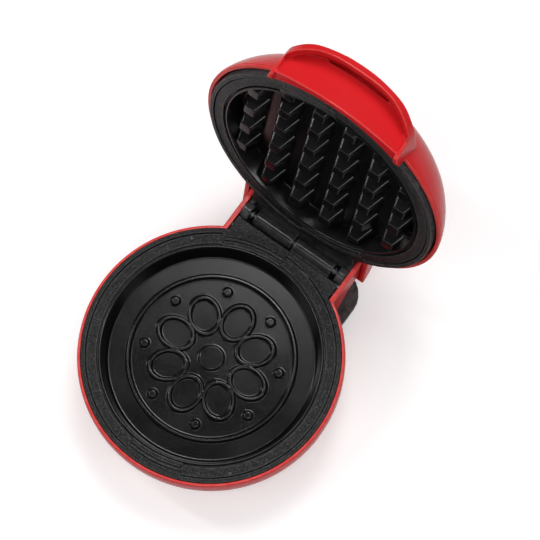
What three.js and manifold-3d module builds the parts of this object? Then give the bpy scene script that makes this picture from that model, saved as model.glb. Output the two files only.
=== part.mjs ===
// A small round waffle maker, open: a red base with a black rim, a domed red lid on a rear hinge,
// two cook plates, and the heating and fixing pieces inside. Millimetres, +Z up, +Y towards the
// hinge, origin on the table under the middle of the base.
import * as THREE from "three";
import { mergeVertices } from "three/addons/utils/BufferGeometryUtils.js";
import Module from "manifold-3d";

const wasm = await Module();
wasm.setup();

// Driving dimensions
const rimHeight = 38;
const rimRadius = 62;
const clearance = 0.3;
const overrun = 1;
const weld = 1e-4;
const openDegrees = 104.4;
const hingeSetback = 5.9;
const hingeDrop = 3.9;

// How finely round pieces are cut
const roundSteps = 36;
const pinSteps = 16;
const smallSteps = 8;
const curveSteps = 6;

// Rims: depths are measured away from the face where base and lid meet
const rimSkirtWall = 2.2;
const rimPlateThickness = 2.2;
const rimWidth = 8.1;
const rimChamfer = 0.4;
const grooveWidth = 1;
const grooveDepth = 0.8;
const bandWidth = 4;
const bandDepth = 0.35;
const bridgeInset = 0.6;
const bridgeGap = 1.4;
const lowerLandsDegrees = [
  [-95.2, -68.8],
  [90, 119.5],
];
const upperLandsDegrees = [
  [-121.6, -90.7],
  [55.7, 90.3],
];

// Hinge barrels, pin, clips and trough
const barrelRadius = 3.9;
const barrelSplit = 0.4;
const pinRadius = 2;
const clipRadius = 3.6;
const clipThickness = 1;
const clipGap = 0.9;
const clipSetback = 1;
const troughRadius = 9.4;
const troughWall = 1;
const troughEndWall = 2.4;
const troughRearDegrees = 352;
const cheekBossRadius = 4.4;
const cheekBossLength = 4.3;
const upperWebBack = 3.1;
const upperWebRise = 1.9;
const upperWebTop = 1.4;

// Cook plates
const plateLip = 1.2;
const cavityFlare = 2.8;
const plateWall = 2;
const lowerLipRise = 0.4;
const upperLipRise = -0.4;
const lowerCavityDepth = 8.5;
const upperCavityDepth = 9.5;
const flangeReach = 3.1;
const flangeThickness = 1.7;
const pegPitchShare = 0.33871;
const pegTip = 6;
const pegFoot = 12.8;
const pegSetback = 1.5;
const pegsPerSide = 6;
const pegSides = 4;
const reliefHeight = 1.8;
const reliefWidth = 2;
const petalCount = 8;
const petalInner = 11;
const petalInset = 9;
const petalHalfWidth = 8;
const rosetteInset = 9.6;
const rosetteHub = 6;
const dotRadius = 2.2;
const dotInset = 7;

// Heaters, shields and controls
const heaterInset = 16.6;
const heaterTube = 3.2;
const heaterTurnDegrees = 320;
const heaterTail = 9;
const heaterPin = 1.6;
const heaterPinLength = 3;
const heaterSteps = 28;
const shieldWall = 1;
const shieldHole = 9.6;
const shieldInset = 10;
const thermostatRadius = 8;
const thermostatHeight = 7;
const fuseRadius = 2.2;
const fuseLength = 14;
const fuseBack = 15;
const blockLength = 22;
const blockDepth = 10;
const blockHeight = 9;
const blockInset = 11;
const leadRadius = 1.2;
const leadSteps = 10;
const leadSpread = 3;

// Lower housing
const housingTuck = 12;
const bulgeDrop = 5;
const housingWall = 1.7;
const housingEdge = 1;
const housingSetback = 0.4;
const housingTaper = 2.4;
const neckHalfWidth = 32.5;
const neckCheek = 2.3;
const neckShell = 1.3;
const neckUndersideShares = [
  [0.92, 0.487],
  [0.854, 0.352],
  [0.78, 0.252],
  [0.677, 0.194],
  [0.56, 0.176],
];
const lugWidth = 9;
const lugThickness = 2;
const lugDegrees = [-90, 30, 150];
const rimBossInset = 2.2;
const rimBossRadius = 2.5;
const rimScrewRadius = 1.1;
const rimScrewHead = 2.3;
const rimScrewHeadHeight = 1.4;

// Base cover, rear foot, rubber feet, gland and cover screws
const coverBottom = 1.2;
const coverInset = 0.5;
const coverThickness = 2.2;
const footPlateOverhang = 5;
const footPlateReach = 9.1;
const footPlateCorner = 13;
const footPlateThickness = 3.6;
const rubberHeight = 2.5;
const rubberRadius = 5.5;
const frontFootInset = 8;
const frontFootDegrees = [-140, -40];
const rearFootInset = 9.5;
const rearFootSetback = 11;
const glandSleeve = 4.4;
const glandTip = 3.6;
const glandCollar = 6;
const glandCollarThickness = 1.8;
const glandRing = 5.4;
const glandRingThickness = 1.2;
const glandBore = 2.6;
const glandLength = 12;
const coverScrewInset = 7;
const coverScrewDegrees = [-120, -60, 60, 120];
const coverScrewRadius = 1.5;
const coverScrewHead = 2.9;
const coverScrewHeadHeight = 1.8;
const coverScrewLength = 9;
const coverCupRadius = 4.6;
const coverCupFloor = 2;
const coverBossRadius = 3.6;
const coverBossHeight = 9;
const ribThickness = 2;

// Lid shell, lens and lamp
const lidOverhang = 3;
const lidEdge = 3;
const lidSpring = 4.3;
const lidCrown = 30.2;
const lidWall = 2.2;
const lidSideExponent = 4;
const lidTopExponent = 1.333;
const lidNeckGap = 1;
const lidNeckWall = 2.5;
const lidNeckRadius = 15.4;
const lidNeckReach = 27.9;
const lidNeckFrontRise = 1.9;
const lidNeckRearRise = 5.4;
const lensRadius = 5;
const lensRise = 1.2;
const lensStem = 3.7;
const lensStemLength = 4.5;
const lampRadius = 2.4;
const lampLength = 5;

// Handle: plan and front view of the brow in shares of its half width, reach and height
const handleWidthShare = 0.5615;
const browReachShare = 1.2;
const browTop = 17.2;
const browLip = 13.4;
const browRise = 0.27;
const browWall = 3.2;
const browRoof = 2.6;
const browSetback = 19;
const browPlanShares = [
  [0, 1],
  [0.2, 0.998],
  [0.411, 0.992],
  [0.603, 0.974],
  [0.74, 0.942],
  [0.849, 0.897],
  [0.932, 0.833],
  [0.973, 0.744],
  [1, 0.667],
];
const browTopShares = [
  [0, 1],
  [0.2, 0.972],
  [0.411, 0.886],
  [0.603, 0.783],
  [0.74, 0.663],
  [0.849, 0.529],
  [0.932, 0.448],
  [0.973, 0.355],
  [1.1, 0.29],
];
const browLipShares = [
  [0, 1],
  [0.27, 0.955],
  [0.548, 0.813],
  [0.712, 0.694],
  [0.822, 0.59],
  [0.912, 0.485],
  [1.1, 0.34],
];
const faceReach = 2.4;
const faceEndSetback = 3;
const faceInset = 3.3;
const faceLow = 1.6;
const faceTop = 15.7;
const tabLow = 3.6;
const tabSetback = 3.5;
const tabThickness = 4;
const tabRootReach = 3;
const tabRootRise = 5;
const tabRearRise = 2.5;
const handleScrewSpread = 18;
const handleScrewRise = 9;
const handleScrewInset = 8.2;
const handleScrewLength = 7.2;
const handlePadRadius = 3.2;

const radians = THREE.MathUtils.degToRad;

// Solids and meshes
function solid(geometry) {
  const bare = geometry.index ? geometry.toNonIndexed() : geometry.clone();
  bare.deleteAttribute("normal");
  bare.deleteAttribute("uv");
  const merged = mergeVertices(bare, weld);
  const all = merged.index.array;
  const corners = [];
  for (let i = 0; i < all.length; i += 3) {
    const [a, b, c] = all.slice(i, i + 3);
    if (a !== b && b !== c && c !== a) corners.push(a, b, c);
  }
  const make = (triangles) =>
    new wasm.Manifold(
      new wasm.Mesh({
        numProp: 3,
        vertProperties: merged.attributes.position.array,
        triVerts: new Uint32Array(triangles),
      }),
    );
  const made = make(corners);
  return made.volume() > 0 ? made : make(corners.reverse());
}

function join(first, ...others) {
  return others.reduce((whole, next) => whole.add(next), first);
}

function cut(body, ...tools) {
  return tools.reduce((rest, tool) => rest.subtract(tool), body);
}

function piece(name, body, [color, roughness, metalness]) {
  const data = body.getMesh();
  const geometry = new THREE.BufferGeometry();
  geometry.setAttribute("position", new THREE.BufferAttribute(data.vertProperties, 3));
  geometry.setIndex(new THREE.BufferAttribute(data.triVerts, 1));
  const flat = geometry.toNonIndexed();
  flat.computeVertexNormals();
  const mesh = new THREE.Mesh(flat, new THREE.MeshStandardMaterial({ color, roughness, metalness }));
  mesh.name = name;
  return mesh;
}

// A closed profile of [radius, height] points turned about the Z axis
function turned(points, steps = roundSteps) {
  const profile = [...points, points[0]].map(([r, z]) => new THREE.Vector2(r, z));
  return solid(new THREE.LatheGeometry(profile, steps).rotateX(Math.PI / 2));
}

function extruded(points, depth) {
  const shape = new THREE.Shape(points.map(([a, b]) => new THREE.Vector2(a, b)));
  return new THREE.ExtrudeGeometry(shape, { depth, bevelEnabled: false });
}

// An outline of [x, y] points raised from one height to another
function raised(points, low, high) {
  return solid(extruded(points, high - low).translate(0, 0, low));
}

// An outline of [y, z] points swept from left to right
function swept(points, left, right) {
  const made = extruded(points, right - left).translate(0, 0, left);
  return solid(made.rotateX(Math.PI / 2).rotateZ(Math.PI / 2));
}

// An outline of [x, z] points carried from back to front, each point climbing as it goes back
function carried(points, front, back, climb = 0) {
  const made = extruded(points, back - front).translate(0, 0, -back).rotateX(Math.PI / 2);
  const lean = new THREE.Matrix4().makeShear(0, 0, 0, climb, 0, 0);
  return solid(made.translate(0, -front, 0).applyMatrix4(lean).translate(0, front, 0));
}

function block([left, right], [front, back], [low, high]) {
  const made = new THREE.BoxGeometry(right - left, back - front, high - low);
  return solid(made.translate((left + right) / 2, (front + back) / 2, (low + high) / 2));
}

function rodAlongX(radius, [left, right], [y, z], steps = pinSteps) {
  const made = new THREE.CylinderGeometry(radius, radius, right - left, steps);
  return solid(made.rotateZ(Math.PI / 2).translate((left + right) / 2, y, z));
}

function rodAlongY(radius, [front, back], [x, z], steps = smallSteps) {
  const made = new THREE.CylinderGeometry(radius, radius, back - front, steps);
  return solid(made.translate(x, (front + back) / 2, z));
}

function post(radius, [low, high], [x, y] = [0, 0], steps = smallSteps) {
  const made = new THREE.CylinderGeometry(radius, radius, high - low, steps);
  return solid(made.rotateX(Math.PI / 2).translate(x, y, (low + high) / 2));
}

function polar(radius, degrees) {
  return [radius * Math.cos(radians(degrees)), radius * Math.sin(radians(degrees))];
}

function arc(radius, from, to, steps, [a, b] = [0, 0]) {
  return [...Array(steps + 1).keys()].map((i) => {
    const [x, y] = polar(radius, from + ((to - from) * i) / steps);
    return [a + x, b + y];
  });
}

function tube(points, radius, steps, sides = smallSteps) {
  const section = arc(radius, 0, 360, sides).slice(1);
  const shape = new THREE.Shape(section.map(([a, b]) => new THREE.Vector2(a, b)));
  const path = new THREE.CatmullRomCurve3(points.map((p) => new THREE.Vector3(...p)));
  return solid(new THREE.ExtrudeGeometry(shape, { steps, extrudePath: path, bevelEnabled: false }));
}

function bothSides(points) {
  const offAxis = points.filter(([a]) => a !== 0);
  return [...points, ...offAxis.map(([a, b]) => [-a, b]).reverse()];
}

function ordered(...ends) {
  return ends.sort((a, b) => a - b);
}

// Sizes that follow from others: everything round takes its radius from the rim's
const hingeBack = rimRadius + hingeSetback;
const hingeHeight = rimHeight - hingeDrop;
const hingeAxis = [hingeBack, hingeHeight];
const rimInnerRadius = rimRadius - rimWidth;
const bandRadius = rimInnerRadius + grooveWidth;
const lipOuter = rimInnerRadius - clearance;
const cavityRadius = lipOuter - plateLip;
const cavityFloorRadius = cavityRadius - cavityFlare;
const flangeRadius = rimInnerRadius + flangeReach;
const flangeTop = rimPlateThickness + clearance;
const flangeBottom = flangeTop + flangeThickness;
const rimSkirtDepth = flangeBottom + clearance + shieldWall;
const rimBossRing = rimRadius - rimSkirtWall - rimBossInset;
const bridgeBack = hingeBack - barrelRadius - bridgeGap;
const lugTop = rimSkirtDepth + clearance;
const lugBottom = lugTop + lugThickness;
const shieldInner = lipOuter + clearance;
const lugInner = shieldInner + shieldWall + clearance;
const pegPitch = pegPitchShare * cavityFloorRadius;
const rosetteRing = cavityFloorRadius - rosetteInset;
const dotRing = rosetteRing - dotInset;
const petalOuter = rosetteRing - petalInset;
const heaterRadius = cavityFloorRadius - heaterInset;

const housingRadius = rimRadius + clearance + housingWall;
const housingFootRadius = housingRadius - housingTuck;
const housingTop = rimHeight - housingSetback;
const bulgeHeight = rimHeight - bulgeDrop;
const coverTop = coverBottom + coverThickness;
const housingBottom = coverTop + clearance;
const coverRadius = housingFootRadius - coverInset;
const coverScrewRing = housingFootRadius - coverScrewInset;
const coverCupSeat = coverBottom + coverScrewHeadHeight + 2 * clearance;
const coverCupTop = coverCupSeat + coverCupFloor;
const frontFootRing = coverRadius - frontFootInset;
const footPlateHalfWidth = neckHalfWidth + footPlateOverhang;
const footPlateBack = hingeBack + footPlateReach;
const rearFootSpread = footPlateHalfWidth - rearFootInset;
const rearFootBack = footPlateBack - rearFootSetback;
const blockBack = coverScrewRing - blockInset;

const troughOuter = troughRadius + troughWall;
const troughHalfWidth = neckHalfWidth - neckCheek - clearance;
const bridgeHalfWidth = troughHalfWidth - bridgeInset;
const cheekBossInner = troughHalfWidth - cheekBossLength;
const clipAt = cheekBossInner - clipSetback - clipThickness;
const barrelEnd = clipAt - clipGap;
const neckInnerRadius = troughOuter + clearance;
const neckRadius = neckInnerRadius + neckShell;
const pinEnds = [-troughHalfWidth, troughHalfWidth];

const lidRadius = rimRadius + lidOverhang;
const lidNeckHalfWidth = neckHalfWidth + lidNeckGap + lidNeckWall;
const lidNeckFront = hingeBack - lidNeckReach;
const handleHalfWidth = handleWidthShare * lidRadius;
const browFront = browReachShare * lidRadius;
const browBack = lidRadius - browSetback;
const faceFront = lidRadius + faceReach;
const faceEndFront = lidRadius - faceEndSetback;
const faceHalfWidth = handleHalfWidth - faceInset;
const tabFront = lidRadius - tabSetback;
const tabBack = tabFront - tabThickness;
const tabRootFront = tabFront + tabRootReach;
const handleScrewHeadAt = lidRadius - handleScrewInset;
const handleScrewTip = handleScrewHeadAt + handleScrewLength;

// Heights in the base and in the closed lid, from a depth behind the face of its rim
const lowerAt = (depth) => rimHeight - depth;
const upperAt = (depth) => rimHeight + clearance + depth;
const rise = (height) => rimHeight + height;

// Finishes as colour, roughness and metalness
const red = [0xb8121c, 0.28, 0];
const black = [0x141415, 0.6, 0];
const nonstick = [0x161617, 0.38, 0.3];
const steel = [0xb9bcc0, 0.3, 1];
const sheath = [0x4a4a4c, 0.5, 0.8];
const aluminium = [0xc7c9cc, 0.4, 1];
const rubber = [0x1b1b1c, 0.85, 0];
const ceramic = [0xe8e2d4, 0.6, 0];
const amber = [0xc2361f, 0.2, 0];
const sleeving = [0xd9d4c6, 0.8, 0];

// The black rim: a grooved ring with a skirt, flat lands in its band, and a bridge to the
// hinge. Bosses behind it take the screws that come through the lugs of the red shell.
function rim(at, landsDegrees) {
  const grooveOuter = bandRadius + bandWidth + grooveWidth;
  const profile = [
    [rimRadius, rimChamfer],
    [rimRadius, rimSkirtDepth],
    [rimRadius - rimSkirtWall, rimSkirtDepth],
    [rimRadius - rimSkirtWall, rimPlateThickness],
    [rimInnerRadius, rimPlateThickness],
    [rimInnerRadius, grooveDepth],
    [bandRadius, grooveDepth],
    [bandRadius, bandDepth],
    [bandRadius + bandWidth, bandDepth],
    [bandRadius + bandWidth, grooveDepth],
    [grooveOuter, grooveDepth],
    [grooveOuter, 0],
    [rimRadius - rimChamfer, 0],
  ];
  const ring = turned(profile.map(([r, depth]) => [r, at(depth)]));
  const plate = ordered(at(0), at(rimPlateThickness));
  const lands = landsDegrees.map(([from, to]) => {
    const outer = arc(grooveOuter + rimChamfer, from, to, smallSteps / 2);
    const inner = arc(bandRadius, to, from, smallSteps / 2);
    return raised([...outer, ...inner], ...plate);
  });
  const corners = [
    [bridgeHalfWidth, 0],
    [bridgeHalfWidth, bridgeBack],
  ];
  const bridge = cut(
    raised(bothSides(corners), ...plate),
    post(rimRadius - rimSkirtWall / 2, ordered(at(-overrun), at(rimSkirtDepth)), [0, 0], roundSteps),
  );
  const bosses = lugDegrees.map((degrees) =>
    post(rimBossRadius, ordered(at(bandDepth), at(rimSkirtDepth)), polar(rimBossRing, degrees)),
  );
  const bores = lugDegrees.map((degrees) =>
    post(
      rimScrewRadius + clearance,
      ordered(at(rimPlateThickness), at(rimSkirtDepth + overrun)),
      polar(rimBossRing, degrees),
    ),
  );
  const trim = turned([
    [rimInnerRadius - overrun, at(grooveDepth)],
    [bandRadius, at(grooveDepth)],
    [bandRadius, at(-overrun)],
    [rimInnerRadius - overrun, at(-overrun)],
  ]);
  return cut(join(ring, ...lands, bridge, ...bosses), ...bores, trim);
}

// The base's rim carries the right barrel and the trough that the hinge lies in
function lowerRim() {
  const [y, z] = hingeAxis;
  const root = lowerAt(rimPlateThickness / 2);
  const trough = swept(
    [
      [y - troughOuter, root],
      ...arc(troughOuter, 180, troughRearDegrees, 2 * curveSteps, hingeAxis),
      ...arc(troughRadius, troughRearDegrees, 180, 2 * curveSteps, hingeAxis),
      [y - troughRadius, root],
    ],
    ...pinEnds,
  );
  const web = swept(
    [
      [bridgeBack - overrun, lowerAt(grooveDepth)],
      [y - barrelRadius / 2, lowerAt(grooveDepth)],
      [y, z],
      [y - barrelRadius, z - barrelRadius / 2],
      [bridgeBack - overrun, lowerAt(rimPlateThickness)],
    ],
    barrelSplit,
    barrelEnd,
  );
  const ends = [-1, 1].map((side) => {
    const outer = side * troughHalfWidth;
    const wall = ordered(outer, side * (troughHalfWidth - troughEndWall));
    const plate = swept(arc(troughRadius + troughWall / 2, 180, 360, 2 * curveSteps, hingeAxis), ...wall);
    return join(plate, rodAlongX(cheekBossRadius, ordered(outer, side * cheekBossInner), hingeAxis));
  });
  const barrel = rodAlongX(barrelRadius, [barrelSplit, barrelEnd], hingeAxis);
  const bore = rodAlongX(pinRadius + clearance, [-neckHalfWidth, neckHalfWidth], hingeAxis);
  return cut(join(rim(lowerAt, lowerLandsDegrees), trough, web, barrel, ...ends), bore);
}

// The lid's rim carries the left barrel; its skirt stops short of the trough
function upperRim() {
  const [y, z] = hingeAxis;
  const web = swept(
    [
      [bridgeBack - overrun, upperAt(0)],
      [bridgeBack + clearance, upperAt(0)],
      [y - barrelRadius / 2, z + barrelRadius / 2],
      [y, z],
      [y + upperWebBack, z + upperWebRise],
      [y - upperWebTop, upperAt(rimPlateThickness)],
      [bridgeBack - overrun, upperAt(rimPlateThickness)],
    ],
    -barrelEnd,
    -barrelSplit,
  );
  const barrel = rodAlongX(barrelRadius, [-barrelEnd, -barrelSplit], hingeAxis);
  const bore = rodAlongX(pinRadius + clearance, [-neckHalfWidth, neckHalfWidth], hingeAxis);
  const relief = block(
    [-barrelEnd, barrelEnd],
    [cavityRadius, hingeBack],
    [upperAt(rimPlateThickness), upperAt(rimSkirtDepth + overrun)],
  );
  return cut(join(cut(rim(upperAt, upperLandsDegrees), relief), web, barrel), bore);
}

// Cook plates: a dish whose flange is held between rim and shield, notched round the rim's bosses
function dish(at, depth, lipRise) {
  const profile = [
    [0, depth],
    [cavityFloorRadius, depth],
    [cavityRadius, 0],
    [(cavityRadius + lipOuter) / 2, -lipRise],
    [lipOuter, 0],
    [lipOuter, flangeTop],
    [flangeRadius, flangeTop],
    [flangeRadius, flangeBottom],
    [lipOuter, flangeBottom],
    [cavityFloorRadius + plateWall, depth + plateWall],
    [0, depth + plateWall],
  ];
  return cut(turned(profile.map(([r, d]) => [r, at(d)])), ...bossNotches(at));
}

function bossNotches(at) {
  const depths = ordered(at(rimPlateThickness), at(lugTop));
  return lugDegrees.map((degrees) => post(rimBossRadius + clearance, depths, polar(rimBossRing, degrees)));
}

function upperPlate() {
  const root = upperAt(upperCavityDepth + plateWall / 2);
  const inside = turned([
    [0, upperAt(0)],
    [cavityRadius, upperAt(0)],
    [cavityFloorRadius + clearance, root],
    [0, root],
  ]);
  const tip = upperAt(pegSetback);
  const places = [...Array(pegsPerSide).keys()].map((i) => (i - (pegsPerSide - 1) / 2) * pegPitch);
  const pegs = [];
  for (const x of places)
    for (const y of places)
      if (Math.hypot(x, y) < cavityFloorRadius) {
        const sides = [pegFoot / Math.SQRT2, pegTip / Math.SQRT2];
        const made = new THREE.CylinderGeometry(...sides, root - tip, pegSides);
        made.rotateX(Math.PI / 2).rotateZ(Math.PI / 4);
        pegs.push(solid(made.translate(x, y, (root + tip) / 2)));
      }
  return dish(upperAt, upperCavityDepth, upperLipRise).add(join(...pegs).intersect(inside));
}

// The lower dish carries a raised rosette: petals round a hub, dots between them, and a ring
function lowerPlate() {
  const ends = [lowerAt(lowerCavityDepth + plateWall / 2), lowerAt(lowerCavityDepth - reliefHeight)];
  const [low, high] = ends;
  const ring = turned([
    [rosetteRing - reliefWidth / 2, low],
    [rosetteRing + reliefWidth / 2, low],
    [rosetteRing + reliefWidth / 2, high],
    [rosetteRing - reliefWidth / 2, high],
  ]);
  const relief = [ring, post(rosetteHub, ends, [0, 0], pinSteps)];
  for (let i = 0; i < petalCount; i++) {
    const degrees = (360 * i) / petalCount;
    relief.push(petal(degrees, ends));
    relief.push(post(dotRadius, ends, polar(dotRing, degrees + 180 / petalCount)));
  }
  return join(dish(lowerAt, lowerCavityDepth, lowerLipRise), ...relief);
}

function petal(degrees, [low, high]) {
  const leaf = (inset) => {
    const half = (petalOuter - petalInner) / 2 - inset;
    const middle = (petalOuter + petalInner) / 2;
    const [c, s] = polar(1, degrees);
    return arc(1, 0, 360, smallSteps)
      .slice(1)
      .map(([a, b]) => [middle + half * a, (petalHalfWidth - inset) * b])
      .map(([x, y]) => [c * x - s * y, s * x + c * y]);
  };
  return cut(raised(leaf(0), low, high), raised(leaf(reliefWidth), low - overrun, high + overrun));
}

// The heater lies between cook plate and shield; its two pins come out through the shield
const heaterStart = -90 + (360 - heaterTurnDegrees) / 2;
const heaterEnds = [heaterStart, heaterStart + heaterTurnDegrees];
const pinPlaces = heaterEnds.map((degrees) => polar(heaterRadius - heaterTail, degrees));
const heaterDepth = (depth) => depth + plateWall + clearance + heaterTube;
const shieldDepth = (depth) => heaterDepth(depth) + heaterTube + clearance;
const pinDepth = (depth) => shieldDepth(depth) + shieldWall + heaterPinLength;

function heater(at, depth) {
  const ring = arc(heaterRadius, ...heaterEnds, 2 * smallSteps);
  const centre = at(heaterDepth(depth));
  const points = [pinPlaces[0], ...ring, pinPlaces[1]].map(([x, y]) => [x, y, centre]);
  const ends = ordered(centre, at(pinDepth(depth)));
  const pins = heaterEnds.map((degrees) => {
    const reach = heaterRadius - heaterTail + heaterPin;
    return post(heaterPin, ends, polar(reach, degrees));
  });
  return join(tube(points, heaterTube, heaterSteps), ...pins);
}

function shield(at, depth) {
  const top = flangeBottom + clearance;
  const floor = shieldDepth(depth);
  const knee = depth + plateWall;
  const profile = [
    [flangeRadius, top],
    [flangeRadius, top + shieldWall],
    [shieldInner + shieldWall, top + shieldWall],
    [shieldInner + shieldWall, knee],
    [shieldInner + shieldWall - shieldInset, floor + shieldWall],
    [shieldHole, floor + shieldWall],
    [shieldHole, floor],
    [shieldInner - shieldInset, floor],
    [shieldInner, knee],
    [shieldInner, top],
  ];
  const holes = heaterEnds.map((degrees) => {
    const reach = heaterRadius - heaterTail + heaterPin;
    const ends = ordered(at(floor - overrun), at(floor + shieldWall + overrun));
    return post(heaterPin + 2 * clearance, ends, polar(reach, degrees));
  });
  return cut(turned(profile.map(([r, d]) => [r, at(d)])), ...bossNotches(at), ...holes);
}

// Lugs of a red shell, and the screws that go up through them into the rim
function lugs(at, outer) {
  const [low, high] = ordered(at(lugTop), at(lugBottom));
  return lugDegrees.map((degrees) => {
    const made = new THREE.BoxGeometry(outer - lugInner, lugWidth, high - low);
    made.translate((outer + lugInner) / 2, 0, (low + high) / 2).rotateZ(radians(degrees));
    const bore = [low - overrun, high + overrun];
    return cut(solid(made), post(rimScrewRadius + clearance, bore, polar(rimBossRing, degrees)));
  });
}

function rimScrew(at, degrees) {
  const seat = lugBottom + clearance;
  const head = ordered(at(seat), at(seat + rimScrewHeadHeight));
  const shank = ordered(at(rimPlateThickness + clearance), at(seat + rimScrewHeadHeight / 2));
  const place = polar(rimBossRing, degrees);
  return join(post(rimScrewHead, head, place), post(rimScrewRadius, shank, place));
}

// The red base: a bowl that stands round the rim, and a neck behind it that holds the hinge
function bowl(growth, bottom, top) {
  const side = [...Array(curveSteps + 1).keys()].map((i) => {
    const share = 1 - i / curveSteps;
    const height = bulgeHeight - (bulgeHeight - housingBottom) * share;
    return [housingRadius - (housingRadius - housingFootRadius) * share ** housingTaper + growth, height];
  });
  const [[footRadius]] = side;
  const edge = growth < 0 ? housingRadius + growth : rimRadius + clearance + housingEdge + growth;
  const shoulder = (housingRadius + growth + edge) / 2 + (housingRadius + growth - edge) / 4;
  return turned([
    [0, bottom],
    [footRadius, bottom],
    ...side,
    [shoulder, (bulgeHeight + housingTop) / 2],
    [edge, top],
    [0, top],
  ]);
}

function neck(radius, halfWidth, floorRise, top) {
  const [, z] = hingeAxis;
  const rearDegrees = THREE.MathUtils.radToDeg(Math.asin((housingTop - z) / radius));
  const underside = neckUndersideShares.map(([a, b]) => [a * hingeBack, b * hingeHeight + floorRise]);
  const [front] = underside.at(-1);
  return swept(
    [
      [front, top],
      [hingeBack, top],
      ...arc(radius, rearDegrees, -90, 2 * curveSteps, hingeAxis),
      ...underside,
    ],
    -halfWidth,
    halfWidth,
  );
}

const [glandUpper, glandLower] = [[1, 1 - neckRadius / hingeHeight], neckUndersideShares[1]].map(
  ([a, b]) => [a * hingeBack, b * hingeHeight],
);

// Turns a solid made about the Z axis so that it stands square on the sloping underside of the neck
function onSlope(body) {
  const run = glandUpper[0] - glandLower[0];
  const drop = glandUpper[1] - glandLower[1];
  const lean = 90 + THREE.MathUtils.radToDeg(Math.atan2(run, drop));
  const middle = [(glandUpper[0] + glandLower[0]) / 2, (glandUpper[1] + glandLower[1]) / 2];
  return body.rotate([-lean, 0, 0]).translate([0, ...middle]);
}

function lowerHousing() {
  const outer = join(bowl(0, housingBottom, housingTop), neck(neckRadius, neckHalfWidth, 0, housingTop));
  const inner = join(
    bowl(-housingWall, housingBottom - overrun, housingTop + overrun),
    neck(neckInnerRadius, neckHalfWidth - neckCheek, neckCheek, housingTop + overrun),
  );
  const bosses = coverScrewDegrees.map((degrees) => {
    const ends = [coverCupTop + clearance, coverCupTop + clearance + coverBossHeight];
    const rib = new THREE.BoxGeometry(housingRadius - coverScrewRing, ribThickness, coverBossHeight);
    rib.translate((housingRadius + coverScrewRing) / 2, 0, (ends[0] + ends[1]) / 2);
    const place = polar(coverScrewRing, degrees);
    const joined = join(post(coverBossRadius, ends, place), solid(rib.rotateZ(radians(degrees))));
    const bore = [ends[0] - overrun, ends[1] - overrun];
    return cut(joined, post(coverScrewRadius + clearance, bore, place));
  });
  const fixings = join(...lugs(lowerAt, housingRadius - housingWall / 2), ...bosses);
  const within = fixings.intersect(bowl(-housingWall / 2, housingBottom, housingTop));
  const hole = turned([
    [0, -neckRadius],
    [glandSleeve + clearance, -neckRadius],
    [glandSleeve + clearance, neckRadius],
    [0, neckRadius],
  ], pinSteps);
  return cut(join(cut(outer, inner), within), onSlope(hole));
}

function cordGland() {
  const back = -(neckCheek * Math.SQRT1_2 + clearance);
  return onSlope(
    turned(
      [
        [glandBore, back - glandRingThickness],
        [glandRing, back - glandRingThickness],
        [glandRing, back],
        [glandSleeve, back],
        [glandSleeve, clearance],
        [glandCollar, clearance],
        [glandCollar, clearance + glandCollarThickness],
        [glandSleeve, clearance + glandCollarThickness],
        [glandTip, glandLength],
        [glandBore, glandLength],
      ],
      pinSteps,
    ),
  );
}

// The black cover under the base, with the rear foot plate, screw cups and sockets for the feet
const footPlaces = [
  ...frontFootDegrees.map((degrees) => polar(frontFootRing, degrees)),
  [-rearFootSpread, rearFootBack],
  [rearFootSpread, rearFootBack],
];

function baseCover() {
  const corner = [footPlateHalfWidth - footPlateCorner, footPlateBack - footPlateCorner];
  const side = [[footPlateHalfWidth, 0], ...arc(footPlateCorner, 0, 90, curveSteps, corner)];
  const plate = cut(
    raised(bothSides(side), coverBottom, coverBottom + footPlateThickness),
    bowl(clearance, coverTop, housingTop),
  );
  const places = coverScrewDegrees.map((degrees) => polar(coverScrewRing, degrees));
  const cups = places.map((place) => post(coverCupRadius, [coverBottom, coverCupTop], place, pinSteps));
  const disc = post(coverRadius, [coverBottom, coverTop], [0, 0], roundSteps);
  const glandWay = onSlope(post(glandTip + clearance, [0, glandLength + clearance]));
  const bores = places.flatMap((place) => [
    post(coverScrewHead + clearance, [coverBottom - overrun, coverCupSeat], place),
    post(coverScrewRadius + clearance, [coverBottom, coverCupTop + overrun], place),
  ]);
  const sockets = footPlaces.map((place) =>
    post(rubberRadius + clearance, [0, rubberHeight + clearance], place, pinSteps),
  );
  return cut(join(disc, plate, ...cups), glandWay, ...bores, ...sockets);
}

function coverScrew(degrees) {
  const place = polar(coverScrewRing, degrees);
  const seat = coverCupSeat - clearance;
  const head = post(coverScrewHead, [seat - coverScrewHeadHeight, seat], place);
  return join(head, post(coverScrewRadius, [seat - overrun, seat + coverScrewLength], place));
}

// Leads between the terminal block, the fuse, the thermostat and the heater
const blockFloor = coverTop + clearance;
const blockMiddle = blockFloor + blockHeight / 2;
const fuseHeight = lowerAt(shieldDepth(lowerCavityDepth) + shieldWall + clearance + fuseRadius);
const thermostatTop = lowerAt(lowerCavityDepth + plateWall + clearance);
const thermostatEnd = thermostatTop - thermostatHeight - clearance;
const heaterPinEnds = heaterEnds.map((degrees) => polar(heaterRadius - heaterTail + heaterPin, degrees));
const lowerPinEnd = lowerAt(pinDepth(lowerCavityDepth)) - clearance;

function lead(...points) {
  return tube(points, leadRadius, leadSteps, smallSteps / 2);
}

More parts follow.
